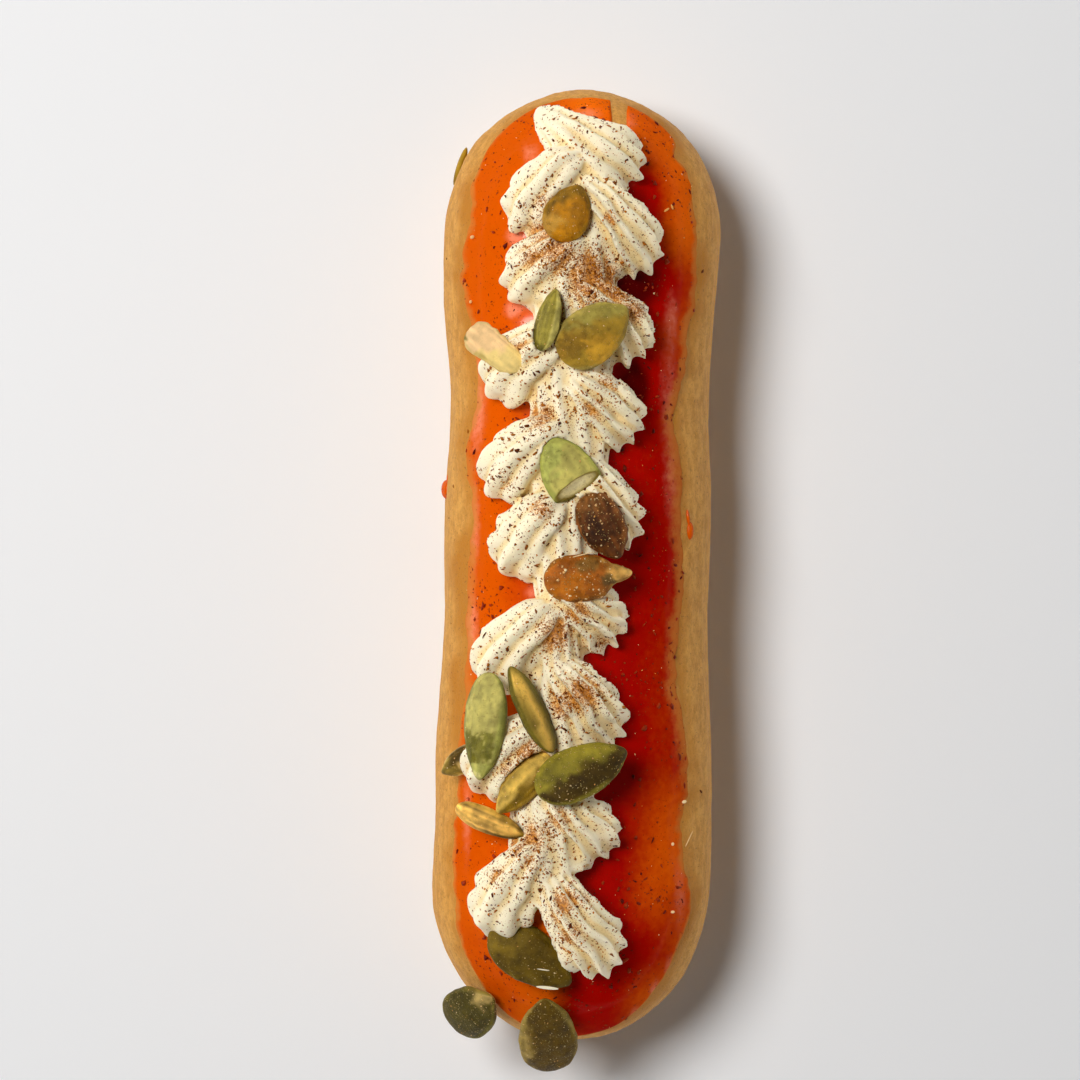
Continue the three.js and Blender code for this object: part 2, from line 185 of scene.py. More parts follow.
CREAM_RELIEF = [(0.1, 1.6, 31), (0.16, 4.0, 32)]
# How hollow a point must be to take the grooves' painted warm shade: passes of smoothing and a range
GROOVE_PASSES = 4
GROOVE_RANGE = (-0.009, 0.016)

# Strokes of cream from the lowest up: place of the tip and the way on along y to the root; then the last one
STROKES = [
    (4.2, -50.6, 13.0), (-11.3, -45.7, 11.6), (4.0, -36.6, 8.5), (-12.8, -28.1, 9.3),
    (4.3, -22.8, 11.2), (-11.2, -15.2, 10.5), (5.2, -10.0, 7.2), (-9.1, -1.1, 9.6),
    (6.5, 1.9, 11.8), (-10.7, 8.9, 8.9), (7.1, 14.9, 8.7), (-10.5, 21.1, 8.6),
    (8.2, 25.3, 9.4), (-8.1, 32.7, 7.8), (9.2, 36.3, 10.7), (-8.1, 41.6, 7.9),
]
LAST_TIP = (7.9, 47.4)
TAIL_END = (-4.7, 55.7)
TAIL_BEND = -5.5
LAST_BULK = 1.12

# Where rust-coloured spice lies thick on the cream: place, reach and amount
SPICE_PATCHES = [
    (-4.5, 41.3, 1.8, 0.8), (-2.7, 38.6, 2.2, 0.9), (1.2, 36.4, 2.2, 1.0), (3.7, 35.3, 1.8, 1.0),
    (5.0, 34.1, 1.6, 1.0), (0.9, 34.1, 2.0, 0.8), (-5.6, 38.4, 1.6, 0.8), (-4.1, 44.8, 1.4, 0.7),
    (7.0, 31.6, 1.4, 0.9), (4.0, 42.8, 0.9, 0.7), (-7.2, 27.0, 1.2, 0.7), (-4.7, 18.6, 1.5, 0.9),
    (1.7, 19.3, 1.3, 0.7), (3.7, 22.7, 1.5, 0.6), (-4.5, 7.1, 1.2, 0.9), (-9.1, 10.2, 1.4, 0.5),
    (-2.9, -8.2, 1.8, 1.0), (0.0, -5.4, 1.5, 0.8), (2.8, -9.7, 1.3, 0.6), (0.5, -15.5, 1.9, 1.0),
    (-2.0, -17.0, 1.6, 0.8), (-5.9, -23.0, 1.6, 0.9), (-8.5, -25.0, 1.4, 0.7), (-5.3, -33.2, 1.8, 0.8),
    (-2.4, -30.9, 1.6, 0.6), (-7.7, -34.2, 1.4, 0.8), (-10.0, -37.9, 1.2, 0.7), (-5.8, -36.1, 1.4, 0.6),
    (-1.5, -40.9, 1.3, 1.0), (-1.0, -45.1, 1.4, 0.7), (1.0, -40.5, 1.2, 0.6), (-2.7, -42.5, 1.4, 0.6),
]
SPICE_EVERYWHERE = 0.24
SPICE_SLOPE = (-0.1, 0.7)
SPICE_ON_CRESTS = 0.75
SPICE_IN_GROOVES = 0.4
POWDER_EVERYWHERE = 0.4
POWDER_ON_PATCHES = 1.6
POWDER_SPREAD = 1.1

# Seeds, as in the part's source: size, turn, dip, roll, then colours: the face, the colour that it turns to,
# the way in plan in which it does so, where that starts (-1 to 1), the rim's colour and the share of flecks.
# On the wrinkled seeds 15 and 16 the flecks are partly painted highlights on the wrinkles.
SEEDS = [
    ((6.4, 3.2, 1.8), (212, 22, 0), (0x5A440A, 0x7E6824, 220, 0.1, 0xC0A468, 0.3)),
    ((12, 6.6, 2.6), (-34, 0, 0), (0x5A4604, 0x725C12, 130, 0.35, 0x665208, 0.5)),
    ((10.6, 6.8, 2.6), (40, -50, 0), (0x4A4004, 0xB49A58, 45, 0.68, 0x6E641A, 1.0)),
    ((12.6, 7.2, 2.8), (95, -38, 0), (0x584202, 0xA88E48, 175, 0.72, 0x8C7836, 1.0)),
    # seed 5: its face colour is lightened, partly as painted light, since the face is not turned to the lamp
    ((9.4, 3.7, 2.2), (-21, -12, 40), (0xE6B458, 0x6A5410, -60, 0.45, 0xB48C34, 0.1)),
    ((9.7, 4.5, 2.4), (228, 8, 20), (0xCEAA4C, 0x7A5E0C, -40, 0.15, 0xA88428, 0.3)),
    ((11.8, 5.6, 2.6), (117, -4, 66), (0x645A12, 0x564C0C, 200, 0.3, 0x6E6014, 0.2)),
    ((13.4, 6.4, 2.6), (-96, 4, 42), (0xB4AA5C, 0xA4A250, -96, 0.5, 0x7C7E34, 0.15)),
    ((12.4, 6.5, 3), (24, 12, -12), (0x867A22, 0x463402, -60, -0.1, 0x8A7E24, 1.0)),
    ((8.6, 4.6, 1.4), (142, 16, 0), (0xF0C890, 0xE8CC80, -60, 0.1, 0xD8BC78, 0.0)),
    ((7.9, 4.6, 1.9), (76, 4, -58), (0x8A7E2E, 0x6A601A, -150, 0.35, 0xB8AC5C, 0.2)),
    ((10.4, 6.9, 3), (38, 6, 8), (0xA88628, 0x988A3C, 90, 0.3, 0xAC984A, 0.45)),
    ((7.4, 5.7, 2.8), (66, -8, -8), (0xAC7206, 0x86600C, 110, 0.2, 0x926A12, 0.4)),
    ((11, 6.7, 2.6), (123, 12, -6), (0xB4AA58, 0xA0A250, 150, 0.3, 0x8A8E3C, 0.15)),
    ((11, 5.8, 2.8), (6, 8, -8), (0xA45A14, 0xECBA60, 5, 0.45, 0x96601C, 1.1)),
    ((8.8, 5.8, 2.4), (-62, 4, 22), (0x603410, 0x7C4E24, 130, 0.65, 0x8A5426, 1.0)),
]
SEED_RINGS = 84
SEED_SIDES = 60
SEED_POINT = 0.2
SEED_TIP = {"from": 0.5, "to": 1.1, "share": 0.3}
SEED_SQUARENESS = 0.85
SEED_LIP = {"depth": 0.12, "at": 0.84, "reach": 0.06}
SEED_RELIEF = [(0.1, (2.6, 1.6, 1.6), 41), (0.03, 0.6, 45)]
SEED_FOLD_DEPTH = 0.14
SEED_FOLDS = [(1.0, (2.2, 0.9, 0.9), 42)]
WRINKLED_SEEDS = (15, 16)
WRINKLED_SCALE = 2.4
# Pale grains on the wrinkled seeds are larger: partly pale crust, partly painted highlights on the wrinkles
WRINKLED_GRAIN_AND_GLINT_SCALE = 1.7
NIB = {"seed": 15, "from": 0.3, "to": 0.6, "share": 0.45}
TORN = {"seed": 10, "power": 4.5, "flare": 0.22, "slim": 0.84, "least_swell": 0.4, "mottle": 0.35}
TORN_EDGE = [(0.16, 0.7, 54)]
SEEDS_APART = 7.0

# Paint of the seeds: how it drifts from colour to colour, its rim, mottling, streaks and one stripe, a golden
# band on seed 7 that is partly its own colour and partly a painted highlight
COLOUR_DRIFT = [(0.25, 2.4, 43), (0.2, 0.8, 46)]
COLOUR_BLEND = (-0.15, 0.25)
RIM_RAGGED = [(0.12, 1.5, 44)]
RIM_RANGE = (0.82, 0.98)
RIM_COVER = 0.8
SEED_MOTTLE = [(0.28, (1.8, 1.1, 1.1), 47), (0.3, 0.5, 48)]
STREAKS = {1: 0.6, 5: 0.8, 6: 0.4, 11: 0.4, 16: 0.6}
FAINT_STREAK = 0.15
STREAK_GRAIN = [(1.0, (5.0, 0.4, 0.4), 51)]
STREAK_TILT = 20
STRIPE = {"seed": 7, "at": 0.5, "spread": 0.34, "heights": (0.0, 0.2), "colour": 0xE8BC54}
STRIPE_RAGGED = [(0.1, 1.2, 49)]
PAINTS_APART = 5.0
DARKEST = 0.001

# Patches of another colour on seeds: seed, place along and across as shares of the half sizes, reach, colour
SEED_PATCHES = [
    (8, 0.42, -0.5, 0.42, 0x686212), (8, 0.42, 0.05, 0.34, 0x686212), (8, 0.3, 0.55, 0.24, 0x706C1E),
    (8, 0.95, 0.0, 0.16, 0xC4BC74),
    (12, -0.6, 0.25, 0.45, 0x7E5E14), (12, -0.1, -0.6, 0.45, 0xC29228), (16, -0.7, 0.3, 0.4, 0x74481E),
    (16, 0.05, 0.0, 0.5, 0x3C1E08), (15, -0.1, 0.5, 0.36, 0x7C5A24), (15, 0.42, -0.25, 0.2, 0x5E4A24),
    (15, -0.4, -0.3, 0.45, 0xB0640C),
    (10, 0.2, 0.8, 0.25, 0xC8AE60), (10, 1.0, 0.45, 0.2, 0x70681C), (13, -0.5, 0.5, 0.4, 0xB88A34),
    # seed 1: a pale patch, partly the pale inside of the open seed and partly a painted reflection
    (1, -0.1, 0.2, 0.4, 0xA88C50),
]
PATCH_RAGGED = [(0.4, 1.1, 50), (0.4, 0.4, 52)]
PATCH_FADE = (0.6, 1.1)
PATCH_FLATNESS = 0.7
PATCH_COVER = 0.85

# The first seed that presses into the cream, and the broken seed: the rings, depth and slant of its break
FIRST_PRESSED_SEED = 5
BROKEN_SEED = 14
BROKEN_SHARE = 0.35
BROKEN_PRESS = 0.82
BREAK_RINGS = (0.3, 0.6, 0.85)
BREAK_HOLLOW = 0.5
BREAK_SLANT = 0.6
BREAK_FADE = 0.12
# Colours of the break from the inside out: pale flesh painted nearly white, partly as painted light on a face
# that lies in shade, then a darker brown ring
BREAK_COLOURS = (0xFFF2BC, 0xFAEAA8, 0x8E7626)

# Spice and grains: how many, their sizes from smallest to largest, and how slim they are
CREAM_FLAKES = 1750
SHELL_FLAKES = 60
FLAKE_SIZES = (0.26, 0.9)
FLAKE_SLIMNESS = (0.22, 0.75)
CREAM_SPECKS = 11500
SPECK_SIZES = (0.12, 0.42)
SPECK_SLIMNESS = (0.4, 1.0)
GLAZE_FLAKES = 720
GLAZE_SPECKS = 1800
GLAZE_FLAKE_SCALE = 1.2
GLAZE_SPECK_SCALE = 0.52
SOAKED_SLIMNESS = (0.25, 0.85)
GLAZE_GRAINS = 190
SEED_GRAINS = 60
PALE_GRAIN_SIZES = (0.12, 0.3)
PALE_GRAIN_SLIMNESS = (0.5, 1.0)
SIZE_SKEW = 1.6
ROPE_END = 48
ROPE_HALF_WIDTH = 5
SOAKED_CLOUDS = [(1.0, 5.0, 61)]
SOAKED_RANGE = (-0.2, 0.6)
SOAKED_EVERYWHERE = 0.35

# Chips: corners, how far these stray in angle, reach and height, and the peaks above and below
CHIP_CORNERS = 6
CHIP_STRAY = 0.3
CHIP_REACH = (0.45, 1.2)
CHIP_WARP = 0.15
CHIP_PEAK = 0.24
CHIP_ROOT = 0.1

# Drips of glaze and a sliver of seed on the shell's sides: place, half sizes, turn about the upright
DRIPS = [
    ((-16.6, 9.8, 12.9), (0.75, 1.25, 1.2), 0), ((-16.2, 11.3, 14.0), (0.42, 1.1, 0.8), -15),
    ((-15.7, 12.7, 15.1), (0.3, 0.9, 0.5), -20), ((14.1, 4.5, 21.8), (0.5, 1.15, 0.5), 0),
    ((13.9, 6.2, 22.1), (0.22, 1.0, 0.3), 8),
]
SLIVER = ((-14.9, 51.2, 12.2), (0.5, 2.6, 1.0), -18.0)
SLIVER_COLOUR = 0xA07C18
SLIVER_MOTTLE = [(0.5, (0.8, 1.6, 0.8), 53)]
DRIP_GLOSS = 0.4

# Pale fibres and crumbs, and cream smeared on a seed: place in plan, half length, half width, turn, tone
PALE_BITS = [
    (0.4, 1.5, 1.6, 0.07, 14, 0.7), (14.0, -34.3, 1.2, 0.06, 65, 0.6), (13.4, -29.5, 0.3, 0.2, 20, 0.8),
    (11.9, -34.7, 0.22, 0.18, 70, 0.6), (11.9, -43.2, 0.25, 0.18, 0, 0.6), (-13.2, 41.3, 0.28, 0.22, 30, 0.5),
    (11.1, 44.5, 0.4, 0.14, 35, 0.0), (11.8, 44.9, 0.35, 0.12, 110, 0.0), (-13.4, 33.2, 0.22, 0.18, 60, 0.3),
]
SMEARS = [(-3.8, -52.1, 1.4, 0.2, -6, 0.0), (-4.3, -49.8, 0.8, 0.08, -8, 0.0)]
BLOB_RINGS = 16
BLOB_SIDES = 20
REST_REACH = 0.45
BIT_THICKNESS = 0.6

# Camera and light
CAMERA_PLACE = (-4.7, 3.33, 513.0)
CAMERA_LENS = 130.2
SENSOR_WIDTH = 36.0
KEY_PLACE = (-280.0, 165.0, 665.0)
KEY_SIZE = 300.0
KEY_POWER = 4.7
KEY_COLOUR = (1.0, 0.96, 0.9)
SURROUND_COLOUR = (1.0, 0.98, 0.95, 1.0)
SURROUND_LOW = 4.1
SURROUND_OVERHEAD = 0.04
SURROUND_CHANGE = (0.02, 0.22)
FLOOR_SIZE = 3000.0
FLOOR_COLOUR = 0xF4F8FF

# Numbers along each side of the noise's lattice
NOISE_SIDE = 32


def linear(colour):
    """Linear red, green and blue of an sRGB colour such as 0xC08040: the sRGB curve undone."""
    parts = np.array([colour >> 16 & 255, colour >> 8 & 255, colour & 255]) / 255
    return np.where(parts <= 0.04045, parts / 12.92, ((parts + 0.055) / 1.055) ** 2.4)


def rgba(colour):
    """The same with an alpha of 1."""
    return (*linear(colour), 1.0)


def smoothstep(low, high, values):
    """0 below low, 1 above high and 3 s^2 - 2 s^3 between, where s is the share of the way."""
    share = np.clip((values - low) / (high - low), 0, 1)
    return share * share * (3 - 2 * share)


def ramp(row, values):
    """A smooth step from a row's first value to its second, times its third."""
    low, high, amount = row
    return amount * smoothstep(low, high, values)


def bell(distance, spread):
    """A bell curve that is 1 at no distance."""
    return np.exp(-((distance / spread) ** 2) / 2)


def bells(x, y, rows):
    """Sum of bell curves in plan, each given as place, reach across, reach along and amount."""
    return sum(
        amount * bell(x - at_x, wide) * bell(y - at_y, long) for at_x, at_y, wide, long, amount in rows
    )


def signed_power(values, power):
    """Each value's size to a power, with the value's own sign."""
    return np.sign(values) * np.abs(values) ** power


def round_angles(count):
    """Evenly spaced angles once round, as one row."""
    return 2 * np.pi * np.arange(count)[None, :] / count


def points_of(x, y, z):
    """Points from three coordinates that are stretched to one another's shape."""
    return np.stack(np.broadcast_arrays(x, y, z), axis=-1)


def lattice_noise(points, cell, seed):
    """Smooth noise from -1 to 1: random numbers on a lattice of that cell size, blended by a smooth step."""
    table = np.random.default_rng(seed).uniform(-1, 1, (NOISE_SIDE,) * 3)
    scaled = np.asarray(points) / np.asarray(cell)
    base = np.floor(scaled).astype(int)
    part = smoothstep(0, 1, scaled - base)
    total = np.zeros(scaled.shape[:-1])
    for corner in np.ndindex(2, 2, 2):
        index = (base + corner) % NOISE_SIDE
        weight = np.where(corner, part, 1 - part).prod(axis=-1)
        total += weight * table[tuple(np.moveaxis(index, -1, 0))]
    return total


def layered(points, layers, shift=0):
    """A sum of noises, each given as amount, cell size and seed, with a shift of all the seeds."""
    return sum(amount * lattice_noise(points, cell, seed + shift) for amount, cell, seed in layers)


def unit(vectors):
    """Vectors brought to a length of 1."""
    return vectors / np.linalg.norm(vectors, axis=-1, keepdims=True)


def past_end(y, ends):
    """How far y is into a rounded end: 0 before it starts, 1 at the tip."""
    at_top = (y - ends["top"] + ends["top_round"]) / ends["top_round"]
    at_bottom = (ends["bottom"] + ends["bottom_round"] - y) / ends["bottom_round"]
    return np.clip(np.maximum(at_top, at_bottom), 0, 1)


def end_round(y, ends):
    """Share of the full width that is left at y: an ellipse at each end."""
    return np.sqrt(1 - past_end(y, ends) ** 2)


def stations(ends, count):
    """Places along y that crowd towards both ends, without the ends themselves."""
    middle = (ends["top"] + ends["bottom"]) / 2
    reach = (ends["top"] - ends["bottom"]) / 2
    return middle - reach * np.cos(np.pi * (np.arange(count) + 0.5) / count)


def belly(y):
    """Half width of the shell before its ends are rounded: full width less a bell-shaped dip at a waist."""
    dips = sum(depth * bell(y - at, spread) for at, depth, spread in SHELL_WAISTS)
    return SHELL_HALF_WIDTH - dips


def centre_line(y):
    """Where the shell's middle lies across: a straight line along y."""
    return SHELL_DRIFT * y


def nose_height(y):
    """Share of the full height that is left at y: the ellipse of the ends to a power."""
    return end_round(y, SHELL_ENDS) ** NOSE_POWER


def crown(x, y):
    """Height of the shell's upper surface: a superellipse across, lowered towards both ends."""
    across = np.abs(x - centre_line(y)) / np.maximum(belly(y) * end_round(y, SHELL_ENDS), 1e-6)
    arch = np.maximum(1 - across**CROWN_POWER, 0) ** (1 / CROWN_POWER)
    return WIDEST_HEIGHT + (SHELL_HEIGHT - WIDEST_HEIGHT) * nose_height(y) * arch


def crown_normal(x, y):
    """Upward normals of the crown, from its slopes over a small step each way."""
    slope_x = (crown(x + SLOPE_STEP, y) - crown(x - SLOPE_STEP, y)) / (2 * SLOPE_STEP)
    slope_y = (crown(x, y + SLOPE_STEP) - crown(x, y - SLOPE_STEP)) / (2 * SLOPE_STEP)
    return unit(np.stack([-slope_x, -slope_y, np.ones_like(slope_x)], axis=-1))


def above_crown(x, y, distance):
    """Points at a distance above the shell's upper surface, measured square to it."""
    return points_of(x, y, crown(x, y)) + np.asarray(distance)[..., None] * crown_normal(x, y)


def spine(y):
    """Where the middle of the cream's rope lies across: a straight line along y."""
    return SPINE_MIDDLE + SPINE_LEAN * y


def skin(rings, start_pole, end_pole):
    """Points and faces of a closed surface: quads between rings of equal count, and a fan at each pole."""
    count, sides = rings.shape[:2]
    points = np.concatenate([rings.reshape(-1, 3), [start_pole, end_pole]])
    here = np.arange(sides)
    after = (here + 1) % sides
    rows = sides * np.arange(count - 1)[:, None]
    quads = np.stack([rows + here, rows + after, rows + sides + after, rows + sides + here], axis=-1)
    last = sides * (count - 1)
    start = np.stack([np.full(sides, len(points) - 2), after, here], axis=-1)
    end = np.stack([np.full(sides, len(points) - 1), last + here, last + after], axis=-1)
    return points, quads.reshape(-1, 4).tolist() + start.tolist() + end.tolist()


def grid_normals(rings):
    """Outward normals of rings that close on themselves, from the differences along and round them."""
    along = np.gradient(rings, axis=0)
    around = np.roll(rings, -1, axis=1) - np.roll(rings, 1, axis=1)
    return unit(np.cross(around, along) + 1e-12)


def add_piece(name, points, faces, finish, attributes=None):
    """A smooth mesh object at the origin, from points in millimetres, with an attribute for each array."""
    mesh = bpy.data.meshes.new(name)
    mesh.from_pydata((np.asarray(points) * MM).tolist(), [], faces)
    mesh.shade_smooth()
    for key, values in (attributes or {}).items():
        if values.ndim == 2:
            layer = mesh.attributes.new(key, "FLOAT_COLOR", "POINT")
            layer.data.foreach_set("color", np.column_stack([values, np.ones(len(values))]).ravel())
        else:
            layer = mesh.attributes.new(key, "FLOAT", "POINT")
            layer.data.foreach_set("value", values)
    mesh.materials.append(finish)
    piece = bpy.data.objects.new(name, mesh)
    bpy.context.scene.collection.objects.link(piece)
    return piece


def read_rows(items, key, width, kind=float):
    """An array with a row for each item of a mesh's list."""
    values = np.empty(len(items) * width, kind)
    items.foreach_get(key, values)
    return values.reshape(-1, width)


def mesh_points(mesh):
    """A mesh's points in millimetres."""
    return read_rows(mesh.vertices, "co", 3) / MM


class Wire:
    """A socket of a material's node tree. Arithmetic on it adds Math nodes; node() adds any other node."""

    def __init__(self, tree, socket=None):
        self.tree = tree
        self.socket = socket

    def node(self, kind, settings=None, sockets=None, output=0):
        """Adds a node, sets its settings and its sockets' values or links, and gives one of its outputs.

        A colour socket takes a link or a colour such as 0xC08040.
        """
        made = self.tree.nodes.new("ShaderNode" + kind)
        for key, value in (settings or {}).items():
            setattr(made, key, value)
        for key, value in (sockets or {}).items():
            entry = next(entry for entry in made.inputs if key in (entry.identifier, entry.name))
            if isinstance(value, Wire):
                self.tree.links.new(value.socket, entry)
            else:
                entry.default_value = rgba(value) if entry.type == "RGBA" else value
        return Wire(self.tree, made.outputs[output])

    def math(self, operation, *values):
        """A Math node on two values or sockets."""
        return self.node("Math", {"operation": operation}, dict(zip(("Value", "Value_001"), values)))

    def __add__(self, other):
        return self.math("ADD", self, other)

    __radd__ = __add__

    def __sub__(self, other):
        return self.math("SUBTRACT", self, other)

    def __rsub__(self, other):
        return self.math("SUBTRACT", other, self)

    def __mul__(self, other):
        return self.math("MULTIPLY", self, other)

    __rmul__ = __mul__

    def map_range(self, sockets):
        """This carried from one range to another by a smooth step."""
        return self.node("MapRange", {"interpolation_type": "SMOOTHSTEP"}, {"Value": self, **sockets})

    def ease(self, low, high):
        """0 below low, 1 above high and a smooth step between."""
        return self.map_range({"From Min": low, "From Max": high})

    def mix(self, first, second, blend="MIX"):
        """The first colour where this is 0 and the second, or their blend, where it is 1."""
        settings = {"data_type": "RGBA", "blend_type": blend}
        sockets = {"Factor_Float": self, "A_Color": first, "B_Color": second}
        return self.node("Mix", settings, sockets, output=2)

    def noise(self, scale, detail=3.0, roughness=0.55):
        """Noise with this as its coordinates."""
        sockets = {"Vector": self, "Scale": scale, "Detail": detail, "Roughness": roughness}
        return self.node("TexNoise", None, sockets)

    def stretched(self, stretch):
        """These coordinates times a number for each axis."""
        return self.node("Mapping", None, {"Vector": self, "Scale": stretch})

    def attribute(self, name, output="Fac"):
        """An attribute of the piece's points."""
        return self.node("Attribute", {"attribute_name": name}, output=output)

    def bump(self, distance):
        """Normals of a surface raised by this times a distance in millimetres."""
        return self.node("Bump", None, {"Strength": 1.0, "Distance": distance * MM, "Height": self})


def new_finish(name, sockets):
    """A material whose Principled shader takes what sockets() gives, from coordinates in millimetres."""
    material = bpy.data.materials.new(name)
    material.use_nodes = True
    tree = material.node_tree
    tree.nodes.clear()
    here = Wire(tree)
    place = here.node("TexCoord", output="Object").stretched((1 / MM,) * 3)
    shader = here.node("BsdfPrincipled", None, sockets(here, place))
    tree.links.new(shader.socket, tree.nodes.new("ShaderNodeOutputMaterial").inputs["Surface"])
    return material


def choux_sockets(here, place):
    """Baked dough: tan with fine freckles and brown specks, ochre where the attribute bake is high."""
    bake = here.attribute("bake")
    cloud = place.noise(0.2, 4.0)
    streak = place.stretched((1.2, 0.5, 1.2)).noise(1.0, 4.0, 0.65)
    fine = place.stretched((3.4, 2.4, 3.4)).noise(1.0, 4.0, 0.7)
    freckle = place.noise(1.5, 5.0, 0.75).ease(0.52, 0.7)
    speck = place.noise(2.6, 2.0).ease(0.63, 0.7)
    pale = (streak * 0.6 + fine * 0.4).ease(0.36, 0.62).mix(0xBC8230, 0xDAA04A)
    stained = (bake + (cloud - 0.5) * 0.9).ease(0.3, 1.0).mix(pale, 0xBA7818)
    grain = (freckle * 0.45).mix(stained, 0x9C6A26)
    return {
        "Base Color": (speck * 0.5).mix(grain, 0x7A4A16),
        "Roughness": 0.55 + 0.2 * fine,
        "Normal": (fine * 0.7 + streak * 0.4).bump(0.24),
        "Specular IOR Level": 0.3,
        "Subsurface Weight": 0.1,
        "Subsurface Radius": (1.0, 0.45, 0.15),
        "Subsurface Scale": 0.001,
    }


def glaze_sockets(here, place):
    """Glossy gel: orange where it is thin, deep red where the attribute pool is high, with faint ripples.

    The orange is deeper where the attribute left is high. The deep red is partly the glaze's depth and partly
    painted shade, and where it passes 1, painted cast shadows of the cream darken it to near black.
    The attributes film, sheen and gloss give the dull tan edge, the painted sheen (pale patches that stand
    for reflections) and the share of clear coat.
    """
    depth_and_shade = here.attribute("depth_and_shade")
    cloud = place.noise(0.22, 3.0)
    spot = place.noise(1.2, 3.0)
    left = here.attribute("left") + (cloud - 0.5) * 0.6
    thin = left.ease(0.0, 1.0).mix(0xF06C06, 0xD05402)
    # deep red, partly the glaze's depth and partly painted shade
    red = (depth_and_shade + (spot - 0.5) * 0.3).ease(0.0, 0.95).mix(thin, 0xA20500)
    # painted cast shadows of the cream: past 1 the red turns nearly black
    deep = (depth_and_shade - 1.0).ease(0.0, 0.5).mix(red, 0x4C0000)
    # painted sheen: pale patches that stand for reflections on the glaze
    sheen = (here.attribute("sheen") * (0.5 + spot) + (spot - 0.5) * 0.25).ease(0.1, 0.9)
    speck = place.noise(3.1, 2.0).ease(0.65, 0.7)
    film = (here.attribute("film") + (place.noise(2.6, 3.0) - 0.5) * 0.5).ease(0.05, 1.0)
    bright = (sheen * 0.55).mix(deep, 0xF8A284)
    specked = (speck * 0.6).mix(bright, 0x6E1A04)
    return {
        "Base Color": (film * 0.75).mix(specked, 0xC67C36),
        "Roughness": 0.16 + 0.12 * spot + 0.3 * film,
        "Coat Weight": here.attribute("gloss"),
        "Coat Roughness": 0.12,
        "Specular IOR Level": 0.0,
        "Normal": (place.noise(0.5, 2.0) + place.noise(2.4, 2.0) * 0.12).bump(0.14),
        "Subsurface Weight": 0.12,
        "Subsurface Radius": (1.0, 0.12, 0.02),
        "Subsurface Scale": 0.0012,
    }


def cream_sockets(here, place):
    """Whipped cream: ivory, yellower in the grooves, with rusty powder where the attribute spice is high.

    The yellower grooves are painted shade, for the warm shade that falls in them.
    """
    groove = here.attribute("groove")
    spice = here.attribute("spice")
    cloud = place.noise(0.35, 3.0)
    grain = place.noise(3.4, 4.0, 0.7)
    # painted shade: the grooves are painted yellower
    ivory = (groove * 0.85 + (cloud - 0.5) * 0.5).ease(0.1, 1.0).mix(0xF6ECCE, 0xF0D89E)
    stained = (spice.ease(0.2, 1.1) * 0.6).mix(ivory, 0xEEC274)
    powder = ((place.noise(4.8, 3.0, 0.65) - 0.5) * 3.2 + spice * 1.5 - 0.6).ease(0.0, 0.5)
    tint = place.noise(2.4, 3.0).ease(0.38, 0.62).mix(0xDC8A0E, 0x9C5000)
    return {
        "Base Color": (powder * 0.85).mix(stained, tint),
        "Roughness": 0.5 + 0.15 * grain,
        "Normal": (grain * 0.35 + place.noise(1.1, 3.0)).bump(0.07),
        "Specular IOR Level": 0.35,
        "Subsurface Weight": 0.25,
        "Subsurface Radius": (1.0, 0.8, 0.5),
        "Subsurface Scale": 0.0009,
    }


def seed_sockets(here, place):
    """Seed skin: its painted colours, finely mottled, with pale flecks where the attribute fleck is high.

    On the wrinkled seeds 15 and 16 the flecks are partly painted highlights on the wrinkles.
    """
    paint = here.attribute("paint", "Color")
    fleck = here.attribute("fleck")
    mottle = place.noise(1.6, 4.0, 0.7)
    fine = place.noise(4.5, 3.0, 0.7)
    darker = mottle.ease(0.5, 0.75) * (0.15 + 0.35 * fleck.ease(0.0, 0.1))
    shade = darker.mix(paint, 0x8A7440, "MULTIPLY")
    spots = place.node("TexVoronoi", None, {"Vector": place, "Scale": 3.4}, output="Distance")
    dots = (1 - spots.ease(0.14, 0.3)) * fleck * place.noise(1.1, 2.0).ease(0.42, 0.6)
    return {
        "Base Color": (dots * 0.75).mix(shade, 0xCDB470),
        "Roughness": 0.36 + 0.25 * fine,
        "Normal": (mottle + fine * 0.4 + dots * 0.6).bump(0.2),
        "Specular IOR Level": 0.14,
    }


def grain_sockets(dark, light, roughness):
    """Sockets of small grains: each one's colour lies between two, by its attribute tone."""
    def sockets(here, place):
        tone = here.attribute("tone") + (place.noise(3.0, 2.0) - 0.5) * 0.4
        return {
            "Base Color": tone.ease(0.0, 1.0).mix(dark, light),
            "Roughness": roughness + 0.2 * place.noise(4.0, 2.0),
            "Specular IOR Level": 0.12,
        }
    return sockets


CHOUX = new_finish("choux", choux_sockets)
GLAZE = new_finish("glaze", glaze_sockets)
CREAM = new_finish("cream", cream_sockets)
SEED_SKIN = new_finish("seed_skin", seed_sockets)
FLAKE = new_finish("spice_flake", grain_sockets(0x522006, 0xAC661E, 0.6))
SPECK = new_finish("spice_speck", grain_sockets(0x743400, 0xCC7E12, 0.7))
SOAKED = new_finish("soaked_spice", grain_sockets(0x560800, 0x9E3208, 0.5))
# Pale grains and crumbs; on the wrinkled seeds the larger pale grains are partly painted highlights
PALE_GRAIN_AND_GLINT = new_finish("pale_grain_and_glint", grain_sockets(0xD89C50, 0xF2DCAC, 0.4))


